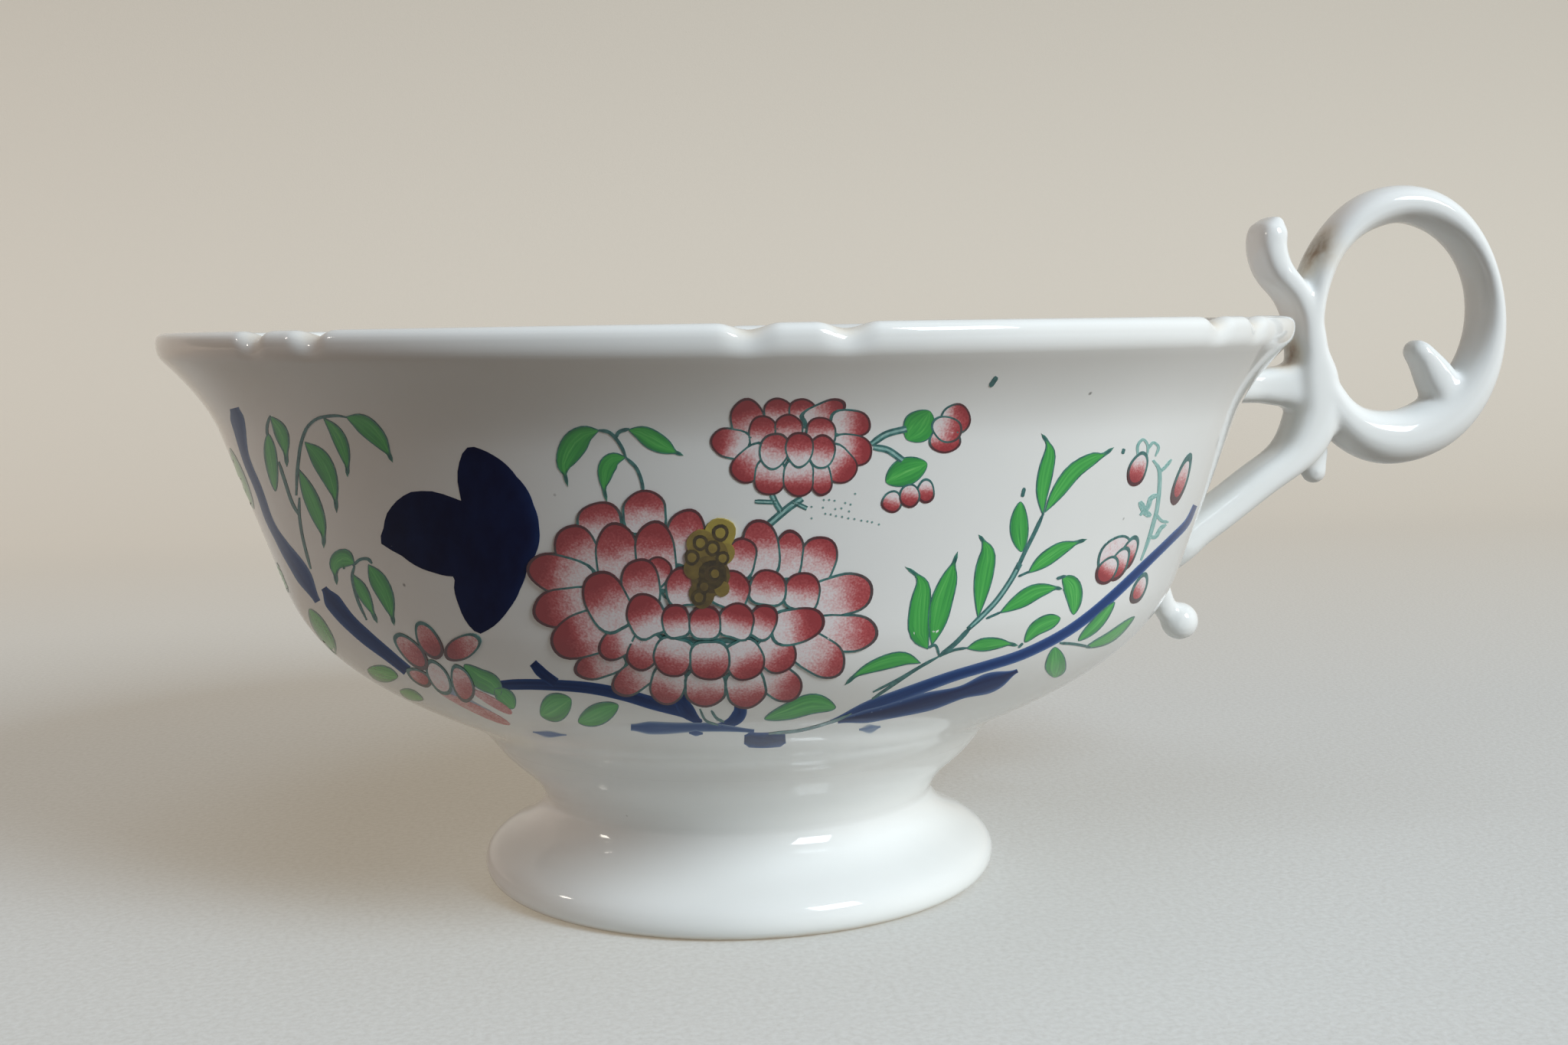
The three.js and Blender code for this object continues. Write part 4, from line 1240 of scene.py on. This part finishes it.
def cobaltLeafPlace():
    middle = Vector(cobaltLeaf["middle"])
    spokes = []
    for point in cobaltLeaf["outline"]:
        out = Vector(point) - middle
        spokes.append((math.atan2(-out.y, out.x) % math.tau, out.length))
    spokes.sort()
    first, last = spokes[0], spokes[-1]
    spokes = [(last[0] - math.tau, last[1])] + spokes + [(first[0] + math.tau, first[1])]

    def place(u, v):
        c = cobaltLeaf
        radius = math.hypot(u, v)
        angle = math.atan2(v, u) % math.tau
        low, high = next(pair for pair in zip(spokes, spokes[1:]) if pair[1][0] >= angle)
        reach = low[1] + (high[1] - low[1]) * (angle - low[0]) / (high[0] - low[0])
        px = middle.x + reach * radius * math.cos(angle)
        py = middle.y - reach * radius * math.sin(angle)
        atEdge = smooth(c["thinFrom"], c["thinTo"], px) * smooth(c["edge"], 1, radius)
        return px, py, c["thin"] + c["thinner"] * atEdge, px / c["strokes"], py / c["strokes"]

    return place


def paintCobalt():
    painting = newFilm()
    for number, (points, widths, thin, soft) in enumerate(branches):
        layer = filmLayers["branches"] + number * filmLayers["branchGap"]
        stamp(painting, "branch", ribbonPlace(points, widths, thin, soft), layer)
    stamp(painting, "blot", cobaltLeafPlace(), filmLayers["cobaltLeaf"])
    finishFilm(painting, "cobalt_branches", [underglazeCobalt()])


# stamens: pools of ochre as x, y, radius and how brown, then the printed rings in them, in pixels
ochrePools = [
    (941, 697, 20, 0.02), (916, 711, 19, 0.3), (947, 722, 13, 0.15), (925, 729, 27, 0.4),
    (927, 752, 26, 0.62), (917, 776, 17, 0.6), (930, 754, 19, 0.95), (906, 742, 13, 0.5),
    (943, 768, 10, 0.35),
]
stamenRings = [
    (941, 695, 11, 0.1), (915, 708, 10, 0.3), (931, 715, 10, 0.3), (904, 727, 10, 0.35),
    (944, 728, 9, 0.3), (931, 749, 18, 0.75), (934, 748, 9, 0.35), (920, 765, 9, 0.6),
    (913, 779, 10, 0.5),
]
stamenShape = {"tall": 1.05, "line": 0.4}


def paintStamens():
    painting = newFilm()
    layer = filmLayers["stamens"]
    for template, marks in (("spot", ochrePools), ("dot", stamenRings)):
        for x, y, radius, brown in marks:
            tall = radius * 2 * stamenShape["tall"]
            disc = petalPlace(x, y, radius * 2, tall, 90, line=radius * stamenShape["line"])
            stamp(painting, template, lambda u, v: (*disc(u, v)[:2], brown, 0, 0), layer)
            layer += 1
    finishFilm(painting, "stamen_cluster", [ochreEnamel(), printedLine("umber_outline", inks["umber"])])


paintCobalt()
paintStems()
paintLeaves()
paintFlowers()
paintStamens()


# stage: a pale cloth that runs up into a pale wall, in metres, and soft lamps
stage = {
    "cloth": [(0.3, "#9ba5ac"), (0.65, "#a7b1b8")], "glow": "#8a8070", "roughness": 0.9, "specular": 0.2,
    "farCloth": "#c6c5c0", "farFrom": 0.06, "farTo": 0.28, "wall": "#adaeab", "wallFrom": 0, "wallTo": 0.16,
    "threadMm": 0.55, "threadBump": 0.25, "threadHeightMm": 0.2,
    "nearBounce": "#d8d7d2", "farBounce": "#6a5a4b", "bounceFrom": 0.035, "bounceTo": 0.075,
    "room": "#e8e2d8", "roomLight": 0.02, "roomSeen": 0.45,
    "front": -0.6, "back": 0.46, "width": 3, "high": 1.6, "bend": 0.22,
}


# what the camera sees, straight or in a gloss
def shownRays(owner):
    path = addNode(owner, "ShaderNodeLightPath", {})
    shown = path.outputs["Is Camera Ray"]
    for ray in ("Is Glossy Ray", "Is Transmission Ray"):
        shown = addNode(
            owner, "ShaderNodeMath", {"operation": "MAXIMUM", 0: shown, 1: path.outputs[ray]},
        ).outputs[0]
    return shown


# white linen: a matt weave that shows only as a faint unevenness, so it is pale and soft
def linenCloth():
    s = stage
    material, shader = newMaterial("white_linen")
    spot = addNode(material, "ShaderNodeTexCoord", {}).outputs["Object"]
    thread = addNode(
        material, "ShaderNodeTexNoise", {"Scale": perMetre(s["threadMm"]), "Detail": 2, "Vector": spot},
    )
    axes = addNode(material, "ShaderNodeSeparateXYZ", {0: spot})
    tint = addNode(
        material, "ShaderNodeValToRGB", {"Fac": thread.outputs["Fac"], "stops": s["cloth"]},
    ).outputs["Color"]
    for axis, start, end, colour in (
        ("Y", "farFrom", "farTo", "farCloth"),
        ("Z", "wallFrom", "wallTo", "wall"),
    ):
        climb = addNode(
            material, "ShaderNodeMapRange",
            {"From Min": s[start], "From Max": s[end], "Value": axes.outputs[axis]},
        )
        tint = addNode(
            material, "ShaderNodeMix",
            {"data_type": "RGBA", 7: hexLinear(s[colour]), 0: climb.outputs["Result"], 6: tint},
        ).outputs[2]
    # the camera sees the pale cloth; what it throws back is bright round the foot and dim farther out
    shown = shownRays(material)
    away = addNode(
        material, "ShaderNodeVectorMath", {"operation": "DISTANCE", 1: (cupAxis, 0, 0), 0: spot},
    )
    reach = addNode(
        material, "ShaderNodeMapRange",
        {"From Min": s["bounceFrom"], "From Max": s["bounceTo"], "Value": away.outputs["Value"]},
    )
    bounce = addNode(
        material, "ShaderNodeMix",
        {"data_type": "RGBA", 6: hexLinear(s["nearBounce"]), 7: hexLinear(s["farBounce"]),
         0: reach.outputs["Result"]},
    )
    seen = addNode(
        material, "ShaderNodeMix", {"data_type": "RGBA", 0: shown, 6: bounce.outputs[2], 7: tint},
    )
    bump = addNode(
        material, "ShaderNodeBump",
        {"Strength": s["threadBump"], "Distance": s["threadHeightMm"] / 1000,
         "Height": thread.outputs["Fac"]},
    )
    setNode(material, shader, {
        "Base Color": seen.outputs[2], "Normal": bump.outputs["Normal"],
        "Emission Color": hexLinear(s["glow"]), "Emission Strength": shown,
        "Roughness": s["roughness"], "Specular IOR Level": s["specular"],
    })
    return material


def makeStage():
    s = stage
    bm = bmesh.new()
    foldStart, foldEnd = Vector((0, s["back"] - s["bend"], 0)), Vector((0, s["back"], s["bend"]))
    line = polyLine(bm, curvePoints([
        (straight(Vector((0, s["front"], 0)), foldStart), 1),
        (quarterHandles(foldStart, Vector((0, s["back"], 0)), foldEnd), 24),
        (straight(foldEnd, Vector((0, s["back"], s["high"]))), 1),
    ]))
    bmesh.ops.translate(bm, vec=(-s["width"] / 2, 0, 0), verts=bm.verts)
    edges = [e for e in line if isinstance(e, bmesh.types.BMEdge)]
    swept = bmesh.ops.extrude_edge_only(bm, edges=edges)["geom"]
    bmesh.ops.translate(bm, vec=(s["width"], 0, 0), verts=vertsOf(swept))
    for face in bm.faces:
        face.smooth = True
    sweep = addObject("cloth_sweep", meshOf(bm, "cloth_sweep"))
    sweep.data.materials.append(linenCloth())


# one window, and the dull walls and ceiling round it, which leave no reflection of their own in the glaze
lamps = {
    "daylight": {
        "place": (0.42, -0.52, 0.45), "size": (0.26, 0.26),
        "watts": 5.7, "colour": "#eaf6ff", "mirrored": True,
    },
    "farPane": {
        "place": (-0.74, 0.02, 0.36), "size": (0.07, 0.07),
        "watts": 0.25, "colour": "#fff6ea", "mirrored": True,
    },
    "rightWall": {
        "place": (0.78, -0.36, 0.18), "size": (0.5, 0.3),
        "watts": 2.3, "colour": "#fff2e0", "mirrored": False,
    },
    "warmSide": {
        "place": (-0.6, 0.1, 0.22), "size": (0.5, 0.4),
        "watts": 1.05, "colour": "#ffe6d8", "mirrored": False,
    },
    "ceiling": {
        "place": (0.05, -0.3, 0.9), "size": (0.6, 0.6),
        "watts": 2, "colour": "#f2f8ff", "mirrored": False,
    },
}
lampAim = (cupAxis, 0, 0.03)


def makeLight():
    aim = Vector(lampAim)
    for name, lamp in lamps.items():
        data = bpy.data.lights.new(name, "AREA")
        data.shape = "RECTANGLE"
        data.size, data.size_y = lamp["size"]
        data.energy = lamp["watts"]
        data.color = hexLinear(lamp["colour"])[:3]
        light = addObject(name, data)
        light.location = lamp["place"]
        light.visible_glossy = lamp["mirrored"]
        light.rotation_euler = (aim - light.location).to_track_quat("-Z", "Y").to_euler()
    world = bpy.data.worlds.new("room")
    world.use_nodes = True
    # the room gives little light, but looks pale
    seen = addNode(
        world, "ShaderNodeMapRange",
        {"To Min": stage["roomLight"], "To Max": stage["roomSeen"], "Value": shownRays(world)},
    )
    setNode(world, world.node_tree.nodes["Background"], {
        "Color": hexLinear(stage["room"]), "Strength": seen.outputs["Result"],
    })
    bpy.context.scene.world = world
    bpy.context.scene.view_settings.view_transform = "Standard"


makeStage()
makeLight()
print("stage and lamps set")
